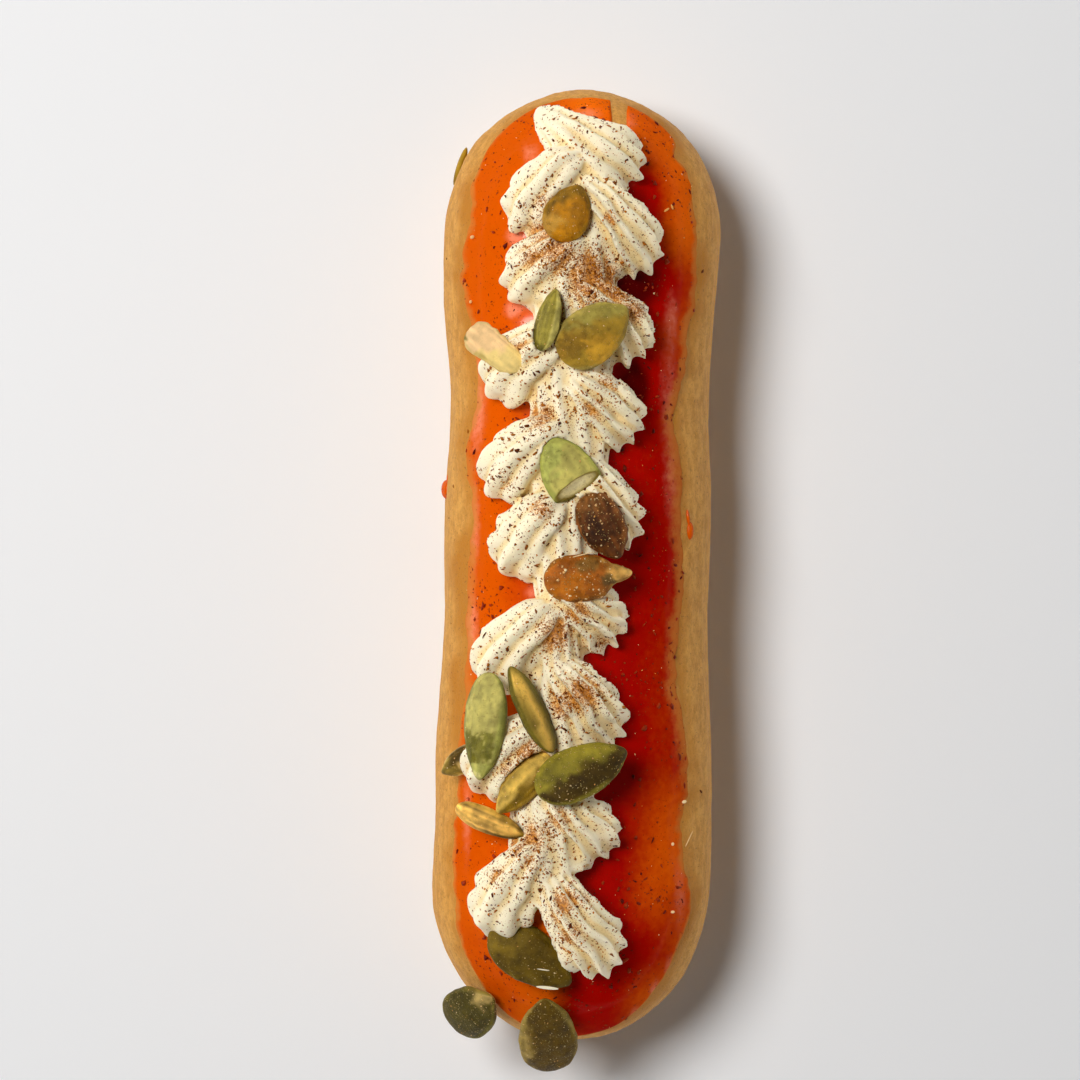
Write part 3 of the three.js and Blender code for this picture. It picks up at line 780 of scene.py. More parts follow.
def glaze_edge(y, side):
    """Where the glaze stops on one side (-1 left, 1 right): a wavy line with bites in the shell's outline."""
    along = y + side * GLAZE_WAVE_SHIFT
    wave = sum(size * np.sin(rate * along) for size, rate in GLAZE_WAVES)
    ragged = layered(points_of(side * SIDES_APART, y, 0.0), GLAZE_RAGGED)
    ragged = ragged * (1 - END_CALM * past_end(y, GLAZE_ENDS))
    bites = sum(depth * bell(y - at, reach) for where, at, depth, reach in GLAZE_BITES if where == side)
    inset = GLAZE_INSET - wave - ragged + bites
    return centre_line(y) + side * (belly(y) - inset) * end_round(y, GLAZE_ENDS)


def shell_bake(points):
    """How ochre the shell is: along the glaze's edge, in single stains and at its foot, with clouds."""
    x, y, height = points.T
    side = np.where(x > centre_line(y), 1, -1)
    away = side * (x - np.where(side > 0, glaze_edge(y, 1), glaze_edge(y, -1)))
    beyond = np.maximum(y - GLAZE_ENDS["top"], GLAZE_ENDS["bottom"] - y)
    stain = EDGE_STAIN["amount"] * np.exp(-((away / EDGE_STAIN["reach"]) ** 2))
    stain = stain * smoothstep(*EDGE_STAIN["heights"], height) * (1 - smoothstep(*EDGE_STAIN["stop"], beyond))
    foot = FOOT_BAKE["amount"] * (1 - smoothstep(0, FOOT_BAKE["height"], height))
    return np.clip(stain + bells(x, y, SHELL_STAINS) + foot + layered(points, BAKE_CLOUDS), 0, 1)


def make_shell():
    """Superelliptic sections along y, cut flat underneath, with lengthwise ridges and a fine baked grain."""
    y = stations(SHELL_ENDS, SHELL_RINGS)[:, None]
    angle = round_angles(SHELL_SIDES)
    up = np.cos(angle)
    power = 2 / np.where(up > 0, CROWN_POWER, UNDERSIDE_POWER)
    depth = np.where(up > 0, SHELL_HEIGHT - WIDEST_HEIGHT, UNDERSIDE_DEPTH)
    x = centre_line(y) + belly(y) * end_round(y, SHELL_ENDS) * signed_power(np.sin(angle), power)
    rings = points_of(x, y, WIDEST_HEIGHT + signed_power(up, power) * depth * nose_height(y))
    rings[..., 2] = np.maximum(rings[..., 2], 0)
    relief = layered(rings, SHELL_RELIEF) * smoothstep(*RELIEF_START, rings[..., 2])
    rings = rings + relief[..., None] * grid_normals(rings)
    rings[..., 2] = np.maximum(rings[..., 2], 0)
    poles = [(centre_line(SHELL_ENDS[end]), SHELL_ENDS[end], WIDEST_HEIGHT) for end in ("bottom", "top")]
    points, faces = skin(rings, *poles)
    return add_piece("choux_shell", points, faces, CHOUX, {"bake": shell_bake(points)})


def halfway_share(y):
    """1 about halfway along the glaze, falling off towards both ends as a flat-topped bell curve."""
    return np.exp(-(((y - HALFWAY["at"]) / HALFWAY["reach"]) ** 4))


def glaze_depth_and_shade(points):
    """How red the glaze is: it rises beside the rope, falls off outwards and fades towards both ends.

    The red is partly the glaze's depth and partly painted shade. Some places keep a share of it, and painted
    cast shadows of the cream lie over it all.
    """
    x, y, _ = points.T
    beside = x - spine(y)
    halfway = halfway_share(y)
    fall = (RED_FALL_ENDS - RED_KEPT_HALFWAY * halfway) * smoothstep(*RED_FALL, beside)
    depth_and_shade = smoothstep(*RED_RISE, beside) * (1 - fall)
    depth_and_shade = depth_and_shade * (1 - ramp(RED_TOP_LOSS, y)) * (1 - ramp(RED_LOW_LOSS, -y))
    low_end = ramp(RED_LOW_END, -y) * smoothstep(*LOW_END_ACROSS, x)
    near_rope = halfway * ramp(RED_NEAR_ROPE, beside)
    depth_and_shade = np.maximum.reduce([depth_and_shade, low_end, ramp(RED_LOW_LEFT, -y), near_rope])
    # painted cast shadows of the cream go on top
    return np.clip(depth_and_shade + layered(points, RED_CLOUDS), 0, 1) + bells(x, y, PAINTED_CAST_SHADOWS)


def make_glaze():
    """A thin closed sheet over the crown: it thins out towards its edge and rolls off there.

    The redness attribute is high beside the cream, partly for the glaze's depth and partly as painted shade,
    and film is high where the glaze thins out.
    """
    y = stations(GLAZE_ENDS, GLAZE_RINGS)[:, None]
    past = past_end(y, GLAZE_ENDS)
    left = glaze_edge(y, -1)
    right = glaze_edge(y, 1)

    def across(columns):
        share = -np.cos(np.pi * np.arange(columns + 1) / columns)[None, :]
        return share, (left + right) / 2 + share * (right - left) / 2

    share, x = across(GLAZE_COLUMNS)
    _, bed_x = across(GLAZE_BED_COLUMNS)
    flat = points_of(x, y, 0.0)
    ripple = layered(flat, GLAZE_RIPPLE)
    uneven = layered(flat, GLAZE_UNEVEN) * (1 - END_CALM * past)
    reach = np.sqrt(past**2 + share**2 * (1 - past**2))
    roll = np.sqrt(1 - np.clip((reach - GLAZE_ROLL) / (1 - GLAZE_ROLL), 0, 1) ** 2)
    height = GLAZE_BED + (GLAZE_RIM + (GLAZE_MIDDLE - GLAZE_RIM) * (1 - reach**GLAZE_THINNING)) * roll
    height = height + ripple * roll
    bare = smoothstep(0, BARE_STRIPE["onset"], y + 0.5 * ripple - BARE_STRIPE["from_y"])
    aside = np.abs(x - BARE_STRIPE["x"] + 2 * ripple) / BARE_STRIPE["half_width"]
    bare = bare * (1 - smoothstep(*BARE_STRIPE["fade"], aside))
    height = height * (1 - bare) - BARE_STRIPE["sink"] * bare

    halfway = halfway_share(y)
    starts = {side: FILM_START[side] - FILM_HALFWAY_STEP[side] * halfway for side in (-1, 1)}
    rightness = smoothstep(-SIDE_BLEND, SIDE_BLEND, share)
    film_start = starts[-1] + (starts[1] - starts[-1]) * rightness + FILM_END_STEP * past
    film = smoothstep(0, 1, (reach + uneven - film_start) / (1 - film_start))
    gloss = GLOSS["middle"] - GLOSS["loss"] * smoothstep(*GLOSS["fade"], reach + uneven)

    bed = above_crown(bed_x, y, GLAZE_BED - GLAZE_SUNK)
    rings = np.concatenate([above_crown(x, y, height), bed[:, ::-1]], axis=1)
    ends = [GLAZE_ENDS["bottom"], GLAZE_ENDS["top"]]
    points, faces = skin(rings, *(above_crown(centre_line(end), end, GLAZE_BED) for end in ends))

    def on_points(values, below):
        return np.append(np.concatenate([values, np.full_like(bed_x, below)], axis=1).ravel(), [below, below])

    attributes = {
        "depth_and_shade": glaze_depth_and_shade(points),
        "left": 1 - smoothstep(*LEFT_SIDE, points[:, 0] - spine(points[:, 1])),
        "film": on_points(np.maximum(film, bare), 1.0),
        "gloss": on_points(gloss, 0.0),
        "sheen": on_points(bells(x, y, SHEEN), 0.0),
    }
    return add_piece("orange_glaze", points, faces, GLAZE, attributes)


def stroke_rings(tip, end, end_height, end_scale, seed, hand, bend=0.0, bulk=1.0):
    """One stroke: a toothed section carried along an arc that leans inwards from its tip to its end.

    With p = teeth * angle / 2 the section's radius is 1 - depth * |sin p|, which gives sharp crests and round
    valleys, blended with 1 - depth * (1 - |cos p|), which gives round lobes with creases between them.
    """
    inward = np.array([end[0] - tip[0], end[1] - tip[1], 0.0])
    overhang = bulk * ROPE_RADIUS * SWELL["head"] * math.cos(HEAD_LEAN)
    arc_radius = (np.linalg.norm(inward) - overhang) / (math.cos(HEAD_LEAN) - math.cos(ROOT_LEAN))
    inward = unit(inward)
    foot = np.array([*tip, 0.0]) + inward * overhang
    upright = crown_normal(foot[0], foot[1])
    along = unit(inward - upright * inward.dot(upright))
    side = np.cross(along, upright)

    share = np.linspace(0, 1, STROKE_STEPS + 1)[:, None]
    lean = HEAD_LEAN + (ROOT_LEAN - HEAD_LEAN) * share
    away = np.sin(lean) * upright - np.cos(lean) * along
    pivot = above_crown(foot[0], foot[1], CREAM_SEAT - HEAD_SINK) - away[0] * arc_radius
    draw = above_crown(*end, CREAM_SEAT + end_height) - (pivot + away[-1] * arc_radius)
    centre = pivot + away * arc_radius + share**2 * draw + bend * share * (1 - share) * side

    head = SWELL["head"] + (1 - SWELL["head"]) * np.minimum(share / SWELL["full"], 1)
    taper = np.maximum((share - SWELL["taper"]) / (1 - SWELL["taper"]), 0)
    rounded = np.sqrt(1 - np.clip((share - ROOT_ROUND) / (ROOT_END - ROOT_ROUND), 0, 1) ** 2)
    size = bulk * ROPE_RADIUS * (head + (end_scale - 1) * taper) * rounded
    teeth = TEETH[hand]
    angle = round_angles(teeth * TOOTH_POINTS)
    around = points_of(np.cos(angle), np.sin(angle), 4 * share)
    depth = TOOTH_DEPTH[hand] * (1 + layered(around, TOOTH_UNEVEN, seed))
    turn = TWIST * np.random.default_rng(seed).uniform(-1, 1)
    drift = turn * share**TWIST_POWER + layered(around, TOOTH_WANDER, seed)
    phase = teeth * (angle + drift) / 2
    lobe = LOBE[hand]
    dip = (1 - lobe) * np.abs(np.sin(phase)) + lobe * (1 - np.abs(np.cos(phase)))
    radius = size * (1 - depth * dip) * (1 + layered(around, STROKE_UNEVEN, seed))
    across = np.cos(angle)[..., None] * away[:, None] + np.sin(angle)[..., None] * side
    return centre[:, None] + radius[..., None] * across


def core_rings():
    """Low ridge under the strokes: a toothed ellipse carried along the rope's spine, slimmer at its waist."""
    first = STROKES[0][1] + STROKES[0][2]
    y = np.linspace(first, LAST_TIP[1], CORE_RINGS)[:, None]
    at, depth, spread = CORE_WAIST
    half_width = CORE_HALF_WIDTH - depth * bell(y - at, spread)
    angle = round_angles(CORE_SIDES)
    radius = 1 - CORE_TOOTH * np.abs(np.sin(CORE_TEETH * (angle + CORE_TWIST * y) / 2))
    x = spine(y) - half_width * radius * np.cos(angle)
    z = crown(spine(y), y) + CREAM_SEAT + CORE_HEIGHT * radius * np.sin(angle)
    return points_of(x, y, z)


def fused(points, faces, voxel):
    """One closed mesh round overlapping closed ones, by a voxel remesh."""
    rough = add_piece("rough", points, faces, CREAM)
    remesh = rough.modifiers.new("fuse", "REMESH")
    remesh.mode = "VOXEL"
    remesh.voxel_size = voxel * MM
    graph = bpy.context.evaluated_depsgraph_get()
    mesh = bpy.data.meshes.new_from_object(rough.evaluated_get(graph))
    bpy.data.objects.remove(rough)
    return mesh


def neighbour_means(points, edges):
    """For each point the mean of the points that an edge joins it to."""
    sums = np.zeros_like(points)
    np.add.at(sums, edges[:, 0], points[edges[:, 1]])
    np.add.at(sums, edges[:, 1], points[edges[:, 0]])
    counts = np.bincount(edges.ravel(), minlength=len(points))
    return sums / np.maximum(counts, 1)[:, None]


def patch_shares(points, widen=1.0):
    """For each spice patch how thick it lies at the points: a bell curve in plan, widened by a factor."""
    x, y, _ = points.T
    return [
        amount * bell(np.hypot(x - at_x, y - at_y), widen * reach)
        for at_x, at_y, reach, amount in SPICE_PATCHES
    ]


def make_cream():
    """The strokes and the ridge under them fused and eased a little, with its grooves and spice marked."""
    strokes = []
    for index, (x, y, rise) in enumerate(STROKES):
        root = (spine(y + rise), y + rise)
        hand = 1 if x > 0 else -1
        seed = FIRST_STROKE_SEED + index
        strokes.append(stroke_rings((x, y), root, ROOT_HEIGHT, SWELL["root"], seed, hand))
    seed = FIRST_STROKE_SEED + len(STROKES)
    last = stroke_rings(LAST_TIP, TAIL_END, TAIL_HEIGHT, SWELL["tail"], seed, 0, TAIL_BEND, LAST_BULK)
    ropes = [*strokes, last, core_rings()]
    points, faces = joined([skin(rings, rings[0].mean(axis=0), rings[-1].mean(axis=0)) for rings in ropes])
    points[:, 2] = np.maximum(points[:, 2], crown(points[:, 0], points[:, 1]) + CREAM_UNDERSIDE)
    mesh = fused(points, faces, CREAM_VOXEL)

    points = mesh_points(mesh)
    edges = read_rows(mesh.edges, "vertices", 2, int)
    normals = read_rows(mesh.vertex_normals, "vector", 3)
    points = (1 - CREAM_EASE) * points + CREAM_EASE * neighbour_means(points, edges)
    hollow = ((neighbour_means(points, edges) - points) * normals).sum(axis=1, keepdims=True)
    for _ in range(GROOVE_PASSES):
        hollow = neighbour_means(hollow, edges)
    # How hollow each point is: the finish paints warm shade there, and spice lies thicker there
    groove = smoothstep(*GROOVE_RANGE, hollow[:, 0])
    points = points + layered(points, CREAM_RELIEF)[:, None] * normals

    spice = np.maximum.reduce([np.full(len(points), SPICE_EVERYWHERE), *patch_shares(points)])
    spice = spice * smoothstep(*SPICE_SLOPE, normals[:, 2]) * (SPICE_ON_CRESTS + SPICE_IN_GROOVES * groove)
    for number in range(FIRST_PRESSED_SEED, len(SEEDS) + 1):
        points = pressed(points, number)
    faces = read_rows(mesh.polygons, "vertices", 4, int).tolist()
    return add_piece("piped_cream", points, faces, CREAM, {"groove": groove, "spice": spice})


def seed_middle(number):
    """Middle of a seed's node, in millimetres."""
    return np.mean(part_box(f"seed_{number:02d}"), axis=0) / MM


def pressed(points, number):
    """Points lowered to the underside of a seed's ellipsoid where they would stand in it or over it.

    On the upright line through a point the ellipsoid is a quadratic, and its lower root is the underside.
    """
    size, turns, _ = SEEDS[number - 1]
    if number == BROKEN_SEED:
        size = (size[0] * BROKEN_PRESS, *size[1:])
    frame_of_seed = turned(*turns)
    form = frame_of_seed @ np.diag((np.array(size) / 2) ** -2.0) @ frame_of_seed.T
    middle = seed_middle(number)
    away = points[:, :2] - middle[:2]
    linear_part = away @ form[:2, 2]
    rest = np.einsum("ni,ij,nj->n", away, form[:2, :2], away) - 1
    inside = linear_part**2 - form[2, 2] * rest
    lower = middle[2] - (linear_part + np.sqrt(np.maximum(inside, 0))) / form[2, 2]
    height = np.where(inside > 0, np.minimum(points[:, 2], lower), points[:, 2])
    return np.column_stack([points[:, :2], height])


def turned(turn, dip, roll):
    """Turn about the upright, after a dip of the pointed end, after a roll about the length."""
    (cz, sz), (cy, sy), (cx, sx) = [
        (math.cos(math.radians(angle)), math.sin(math.radians(angle))) for angle in (turn, dip, roll)
    ]
    about_z = np.array([[cz, -sz, 0], [sz, cz, 0], [0, 0, 1]])
    about_y = np.array([[cy, 0, sy], [0, 1, 0], [-sy, 0, cy]])
    about_x = np.array([[1, 0, 0], [0, cx, -sx], [0, sx, cx]])
    return about_z @ about_y @ about_x


def seed_rings(number, halves):
    """Rings of a seed with its point at +X, its other pole, and how near each point is to the seed's edge.

    A seed is a flat drop: half width and half thickness follow an ellipse along the length. The section is a
    little squarer than an ellipse with a ridge round its edge, and the skin is wrinkled. The broken seed
    stops short in a hollow, which has rings of its own.
    """
    length, width, thickness = halves
    whole = number != BROKEN_SEED
    torn = number == TORN["seed"]
    first = 0.0 if whole else math.acos(BROKEN_SHARE)
    share = -np.cos(first + (np.pi - first) * (np.arange(SEED_RINGS)[:, None] + 0.5) / SEED_RINGS)
    angle = round_angles(SEED_SIDES)
    swell = np.sqrt(1 - share**2)
    narrow = NIB if number == NIB["seed"] else SEED_TIP
    tip = 1 - narrow["share"] * smoothstep(narrow["from"], narrow["to"], share)
    if torn:
        blunt = np.sqrt(1 - np.abs(share) ** TORN["power"]) / swell
        tip = TORN["slim"] * blunt * (1 + TORN["flare"] * share) / (1 - SEED_POINT * share)
    half_width = width * swell * tip * (1 - SEED_POINT * share)
    rise = signed_power(np.sin(angle), SEED_SQUARENESS)
    rings = points_of(length * share, half_width * np.cos(angle), thickness * swell * rise)
    edge = np.abs(np.cos(angle)) * np.ones_like(share)
    shifted = rings + number * SEEDS_APART
    folds = 0.5 - np.abs(layered(shifted, SEED_FOLDS))
    wrinkle = layered(shifted, SEED_RELIEF) + SEED_FOLD_DEPTH * folds
    if number in WRINKLED_SEEDS:
        wrinkle = WRINKLED_SCALE * wrinkle
    if torn:
        wrinkle += edge**4 * layered(shifted, TORN_EDGE) / np.maximum(swell, TORN["least_swell"])
    lip = -SEED_LIP["depth"] * np.exp(-(((edge - SEED_LIP["at"]) / SEED_LIP["reach"]) ** 2))
    rings = rings + ((wrinkle + lip) * swell)[..., None] * grid_normals(rings)
    start = np.array([-length, 0, 0])
    if not whole:
        rings[..., 0] += BREAK_SLANT * rings[..., 2] * np.exp(-(share + BROKEN_SHARE) / BREAK_FADE)
        start = rings[0].mean(axis=0) + (BREAK_HOLLOW, 0, 0)
        rings = np.concatenate([[start + (rings[0] - start) * scale for scale in BREAK_RINGS], rings])
        edge = np.concatenate([edge[:len(BREAK_RINGS)], edge])
    return rings, start, edge


def covered(paint, colour, cover):
    """Paint with a colour over it, by a share of cover for each point."""
    cover = cover[:, None]
    return paint * (1 - cover) + linear(colour) * cover


def seed_paint(number, points, local, edge, turn, colours):
    """Colours of a seed's points: two blended across it, then its rim, patches, streaks, mottling and stripe.

    The local points are shares of the seed's half sizes. Seed 7's stripe is partly a painted highlight, and
    the broken seed's pale flesh is painted nearly white, partly as painted light on a face that lies in
    shade.
    """
    face, other, way, begin, rim, _ = colours
    lean = math.radians(way - turn)
    moved = points + number * PAINTS_APART
    drift = local[:, 0] * math.cos(lean) + local[:, 1] * math.sin(lean) + layered(moved, COLOUR_DRIFT)
    paint = covered(linear(face), other, smoothstep(*(begin + step for step in COLOUR_BLEND), drift))
    rim_share = smoothstep(*RIM_RANGE, edge + layered(points + number, RIM_RAGGED))
    paint = covered(paint, rim, RIM_COVER * rim_share)
    ragged = layered(moved, PATCH_RAGGED)
    for owner, along, across, reach, colour in SEED_PATCHES:
        if owner == number:
            away = np.hypot(local[:, 0] - along, PATCH_FLATNESS * (local[:, 1] - across)) / reach
            paint = covered(paint, colour, PATCH_COVER * (1 - smoothstep(*PATCH_FADE, away + ragged)))
    streak = STREAKS.get(number, FAINT_STREAK) * layered(moved @ turned(0, 0, STREAK_TILT), STREAK_GRAIN)
    mottle = layered(moved, SEED_MOTTLE)
    if number == TORN["seed"]:
        mottle = TORN["mottle"] * mottle
    paint = np.clip(paint * (1 + streak[:, None]) * (1 + mottle[:, None]), DARKEST, 1)
    # seed 7's golden stripe, partly a painted highlight along its upper side
    if number == STRIPE["seed"]:
        aside = local[:, 1] - STRIPE["at"] + layered(moved, STRIPE_RAGGED)
        band = np.exp(-((aside / STRIPE["spread"]) ** 2))
        paint = covered(paint, STRIPE["colour"], band * smoothstep(*STRIPE["heights"], local[:, 2]))
    # the break's pale flesh, painted nearly white, partly as painted light on a face that lies in shade
    if number == BROKEN_SEED:
        rings = [linear(colour) for colour in BREAK_COLOURS]
        paint[:len(rings) * SEED_SIDES] = np.repeat(rings, SEED_SIDES, axis=0)
        paint[-2] = rings[0]
    return paint


def make_seed(number, size, turns, colours):
    """A painted seed, turned and set on the middle of its node."""
    halves = np.array(size) / 2
    rings, start, edge = seed_rings(number, halves)
    points, faces = skin(rings, start, (halves[0], 0, 0))
    edge = np.append(edge.ravel(), [1.0, 1.0])
    paint = seed_paint(number, points, points / halves, edge, turns[0], colours)
    points = points @ turned(*turns).T
    points = points + seed_middle(number) - (points.min(axis=0) + points.max(axis=0)) / 2
    attributes = {"paint": paint, "fleck": np.full(len(points), float(colours[-1]))}
    return add_piece(f"pumpkin_seed_{number:02d}", points, faces, SEED_SKIN, attributes)


def blob(middle, halves, turn):
    """Rings of an ellipsoid turned about the upright, with their two poles."""
    polar = np.pi * (np.arange(BLOB_RINGS)[:, None] + 0.5) / BLOB_RINGS
    angle = round_angles(BLOB_SIDES)
    ball = points_of(np.sin(polar) * np.cos(angle), np.sin(polar) * np.sin(angle), -np.cos(polar))
    spin = turned(turn, 0, 0).T
    pole = np.array([0, 0, halves[2]])
    return (ball * halves) @ spin + middle, middle - pole, middle + pole


def joined(skins):
    """Points and faces of several closed surfaces as one."""
    starts = np.cumsum([0, *(len(points) for points, _ in skins)])
    faces = [[index + start for index in face] for (_, rows), start in zip(skins, starts) for face in rows]
    return np.concatenate([points for points, _ in skins]), faces


def make_drips():
    """Small runs of glaze on the shell's sides: ellipsoids that lie half in the dough."""
    points, faces = joined([skin(*blob(*drip)) for drip in DRIPS])
    none = np.zeros(len(points))
    attributes = {"depth_and_shade": none, "left": none + 1, "film": none, "sheen": none, "gloss": none + DRIP_GLOSS}
    return add_piece("glaze_drips", points, faces, GLAZE, attributes)


def make_sliver():
    """A thin piece of seed skin at the shell's upper left side: a flat ellipsoid."""
    points, faces = skin(*blob(*SLIVER))
    paint = linear(SLIVER_COLOUR) * (1 + layered(points, SLIVER_MOTTLE))[:, None]
    attributes = {"paint": paint, "fleck": np.zeros(len(points))}
    return add_piece("seed_sliver", points, faces, SEED_SKIN, attributes)


def resting(pieces, bits):
    """Small flat ellipsoids that rest on the highest point of some pieces below each one's middle."""
    points = np.concatenate([mesh_points(piece.data) for piece in pieces])
    skins = []
    for x, y, half_length, half_width, turn, _ in bits:
        near = np.hypot(points[:, 0] - x, points[:, 1] - y) < REST_REACH
        middle = np.array([x, y, points[near, 2].max()])
        skins.append(skin(*blob(middle, (half_length, half_width, BIT_THICKNESS * half_width), turn)))
    return joined(skins)


def make_pale_bits(pieces):
    """Fibres and crumbs: slim ellipsoids on the pieces, each with its own tone."""
    points, faces = resting(pieces, PALE_BITS)
    tone = np.repeat([bit[-1] for bit in PALE_BITS], len(points) // len(PALE_BITS))
    return add_piece("pale_bits", points, faces, PALE_GRAIN_AND_GLINT, {"tone": tone})


def make_smears(pieces):
    """Smears of cream: slim ellipsoids on the pieces."""
    points, faces = resting(pieces, SMEARS)
    none = np.zeros(len(points))
    return add_piece("cream_smears", points, faces, CREAM, {"groove": none, "spice": none})


def top_places(piece, count, rng, chance):
    """Places and normals where falling grains land on a piece, even in plan and thinned by a chance."""
    mesh = piece.data
    mesh.calc_loop_triangles()
    corners = read_rows(mesh.loop_triangles, "vertices", 3, int)
    a, b, c = np.moveaxis(mesh_points(mesh)[corners], 1, 0)
    face = np.cross(b - a, c - a) / 2
    weight = np.maximum(face[:, 2], 0) * chance((a + b + c) / 3)
    picked = rng.choice(len(face), count, p=weight / weight.sum())
    u, v = np.sort(rng.random((2, count, 1)), axis=0)
    places = a[picked] * u + b[picked] * (v - u) + c[picked] * (1 - v)
    return places, unit(face[picked])


def chips(places, normals, sizes, slimness, rng):
    """Flat chips with uneven corners, a low peak above and one below, each turned at random."""
    count = len(places)
    corners = (count, CHIP_CORNERS)
    spun = unit(np.cross(normals, unit(rng.normal(size=(count, 3)))))
    other = np.cross(normals, spun)
    angle = round_angles(CHIP_CORNERS) + rng.uniform(-CHIP_STRAY, CHIP_STRAY, corners)
    reach = rng.uniform(*CHIP_REACH, corners) * sizes[:, None] / 2
    rim = (
        places[:, None]
        + (reach * np.cos(angle))[..., None] * spun[:, None]
        + (reach * np.sin(angle) * slimness[:, None])[..., None] * other[:, None]
        + (rng.uniform(0.0, CHIP_WARP, corners) * sizes[:, None])[..., None] * normals[:, None]
    )
    up = sizes[:, None] * normals
    peaks = np.stack([places + CHIP_PEAK * up, places - CHIP_ROOT * up], axis=1)
    points = np.concatenate([rim, peaks], axis=1)
    here = np.arange(CHIP_CORNERS)
    after = (here + 1) % CHIP_CORNERS
    above = np.stack([here, after, np.full(CHIP_CORNERS, CHIP_CORNERS)], axis=-1)
    below = np.stack([after, here, np.full(CHIP_CORNERS, CHIP_CORNERS + 1)], axis=-1)
    each = np.concatenate([above, below])
    faces = each[None] + (CHIP_CORNERS + 2) * np.arange(count)[:, None, None]
    return points.reshape(-1, 3), faces.reshape(-1, 3).tolist()


def scatter(name, finish, piece_counts, size_range, slim_range, seed):
    """One joined mesh of chips on some pieces, each given as (piece, count, chance, scale)."""
    rng = np.random.default_rng(seed)
    found = [top_places(piece, count, rng, chance) for piece, count, chance, _ in piece_counts]
    scale = np.repeat([row[3] for row in piece_counts], [row[1] for row in piece_counts])
    places = np.concatenate([place for place, _ in found])
    normals = np.concatenate([normal for _, normal in found])
    low, high = size_range
    sizes = scale * low * (high / low) ** (rng.random(len(places)) ** SIZE_SKEW)
    slimness = rng.uniform(*slim_range, len(places))
    points, faces = chips(places, normals, sizes, slimness, rng)
    tone = np.repeat(rng.random(len(places)), CHIP_CORNERS + 2)
    return add_piece(name, points, faces, finish, {"tone": tone})


def evenly(points):
    """The same chance everywhere."""
    return np.ones(len(points))


def on_spice(points):
    """Chance of powder: high on the spice patches of the cream, low elsewhere."""
    return POWDER_EVERYWHERE + POWDER_ON_PATCHES * sum(patch_shares(points, POWDER_SPREAD))


def beside_cream(points):
    """Chance of a flake on the glaze: none under the cream's rope, patchy elsewhere."""
    away = np.abs(points[:, 0] - spine(points[:, 1]))
    under = (np.abs(points[:, 1]) < ROPE_END) & (away < ROPE_HALF_WIDTH)
    patchy = SOAKED_EVERYWHERE + smoothstep(*SOAKED_RANGE, layered(points, SOAKED_CLOUDS))
    return np.where(under, 0.0, patchy)


shell = make_shell()
glaze = make_glaze()
cream = make_cream()
seeds = [make_seed(number, *seed) for number, seed in enumerate(SEEDS, start=1)]
drips = make_drips()
sliver = make_sliver()
pale_bits = make_pale_bits([shell, glaze, cream, *seeds])
smears = make_smears(seeds)
flakes = scatter(
    "spice_flakes", FLAKE,
    [(cream, CREAM_FLAKES, evenly, 1.0), (shell, SHELL_FLAKES, evenly, 1.0)],
    FLAKE_SIZES, FLAKE_SLIMNESS, seed=71,
)
specks = scatter(
    "spice_specks", SPECK,
    [(cream, CREAM_SPECKS, on_spice, 1.0)],
    SPECK_SIZES, SPECK_SLIMNESS, seed=72,
)
soaked = scatter(
    "glaze_spice", SOAKED,
    [(glaze, GLAZE_FLAKES, beside_cream, GLAZE_FLAKE_SCALE),
     (glaze, GLAZE_SPECKS, beside_cream, GLAZE_SPECK_SCALE)],
    FLAKE_SIZES, SOAKED_SLIMNESS, seed=74,
)
# Pale grains on the seeds; on the wrinkled seeds they are larger and partly painted highlights on the
# wrinkles
seed_grains_and_glints = []
for number, (seed, (_, _, colours)) in enumerate(zip(seeds, SEEDS), start=1):
    scale = WRINKLED_GRAIN_AND_GLINT_SCALE if number in WRINKLED_SEEDS else 1.0
    seed_grains_and_glints.append((seed, round(SEED_GRAINS * colours[-1]), evenly, scale))
pale_grains_and_glints = scatter(
    "pale_grains_and_glints", PALE_GRAIN_AND_GLINT,
    [(glaze, GLAZE_GRAINS, beside_cream, 1.0),
     *(row for row in seed_grains_and_glints if row[1] > 0)],
    PALE_GRAIN_SIZES, PALE_GRAIN_SLIMNESS, seed=73,
)

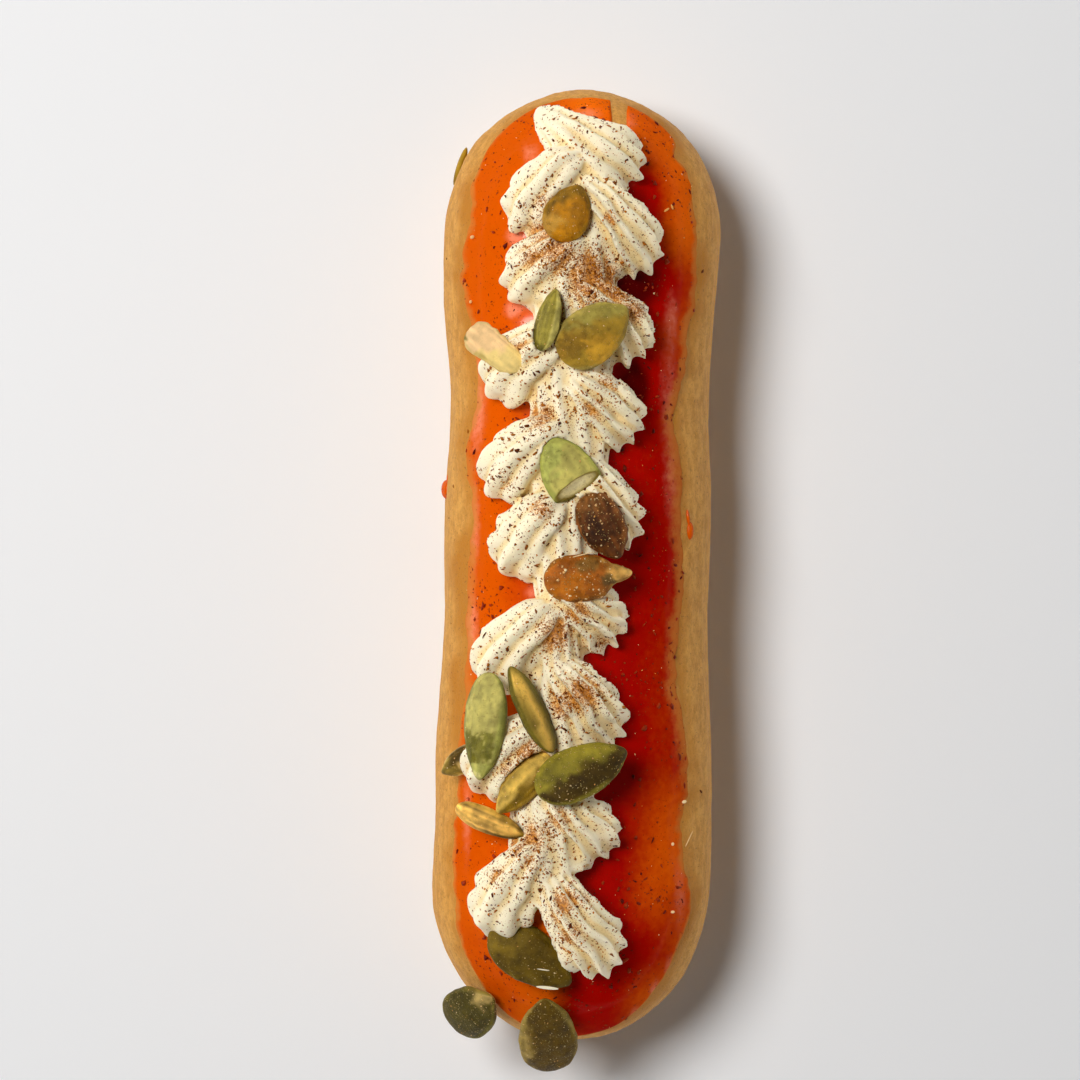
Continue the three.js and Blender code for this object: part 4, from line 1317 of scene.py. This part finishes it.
for piece, node in ((shell, "shell"), (glaze, "glaze"), (cream, "cream")):
    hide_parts(node)
for number, piece in enumerate(seeds, start=1):
    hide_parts(f"seed_{number:02d}")
small_pieces = [drips, sliver, pale_bits, smears, flakes, specks, soaked, pale_grains_and_glints]
for piece in [shell, glaze, cream, *seeds, *small_pieces]:
    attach(piece, "root")


def make_floor():
    """A plain pale square under the eclair."""
    def sockets(here, place):
        return {"Base Color": FLOOR_COLOUR, "Roughness": 0.9}

    half = FLOOR_SIZE / 2
    corners = [(-half, -half, 0), (half, -half, 0), (half, half, 0), (-half, half, 0)]
    floor = add_piece("floor", corners, [[0, 1, 2, 3]], new_finish("floor", sockets))


def light_and_camera():
    """A large soft light from the upper left, a surround bright low down, and a camera straight above."""
    scene = bpy.context.scene
    world = bpy.data.worlds.new("surround")
    world.use_nodes = True
    tree = world.node_tree
    here = Wire(tree)
    upward = here.node("SeparateXYZ", None, {"Vector": here.node("TexCoord", output="Generated")}, output="Z")
    light = upward.map_range({
        "From Min": SURROUND_CHANGE[0], "From Max": SURROUND_CHANGE[1],
        "To Min": SURROUND_LOW, "To Max": SURROUND_OVERHEAD,
    })
    background = tree.nodes["Background"]
    background.inputs["Color"].default_value = SURROUND_COLOUR
    tree.links.new(light.socket, background.inputs["Strength"])
    scene.world = world
    key = bpy.data.lights.new("key", "AREA")
    key.shape = "DISK"
    key.size = KEY_SIZE * MM
    key.energy = KEY_POWER
    key.color = KEY_COLOUR
    lamp = bpy.data.objects.new("key", key)
    lamp.location = Vector(KEY_PLACE) * MM
    lamp.rotation_euler = (-lamp.location).to_track_quat("-Z", "Y").to_euler()
    scene.collection.objects.link(lamp)
    lens = bpy.data.cameras.new("camera")
    lens.lens = CAMERA_LENS
    lens.sensor_width = SENSOR_WIDTH
    camera = bpy.data.objects.new("camera", lens)
    camera.location = Vector(CAMERA_PLACE) * MM
    scene.collection.objects.link(camera)
    scene.camera = camera
    scene.view_settings.view_transform = "Standard"


make_floor()
light_and_camera()
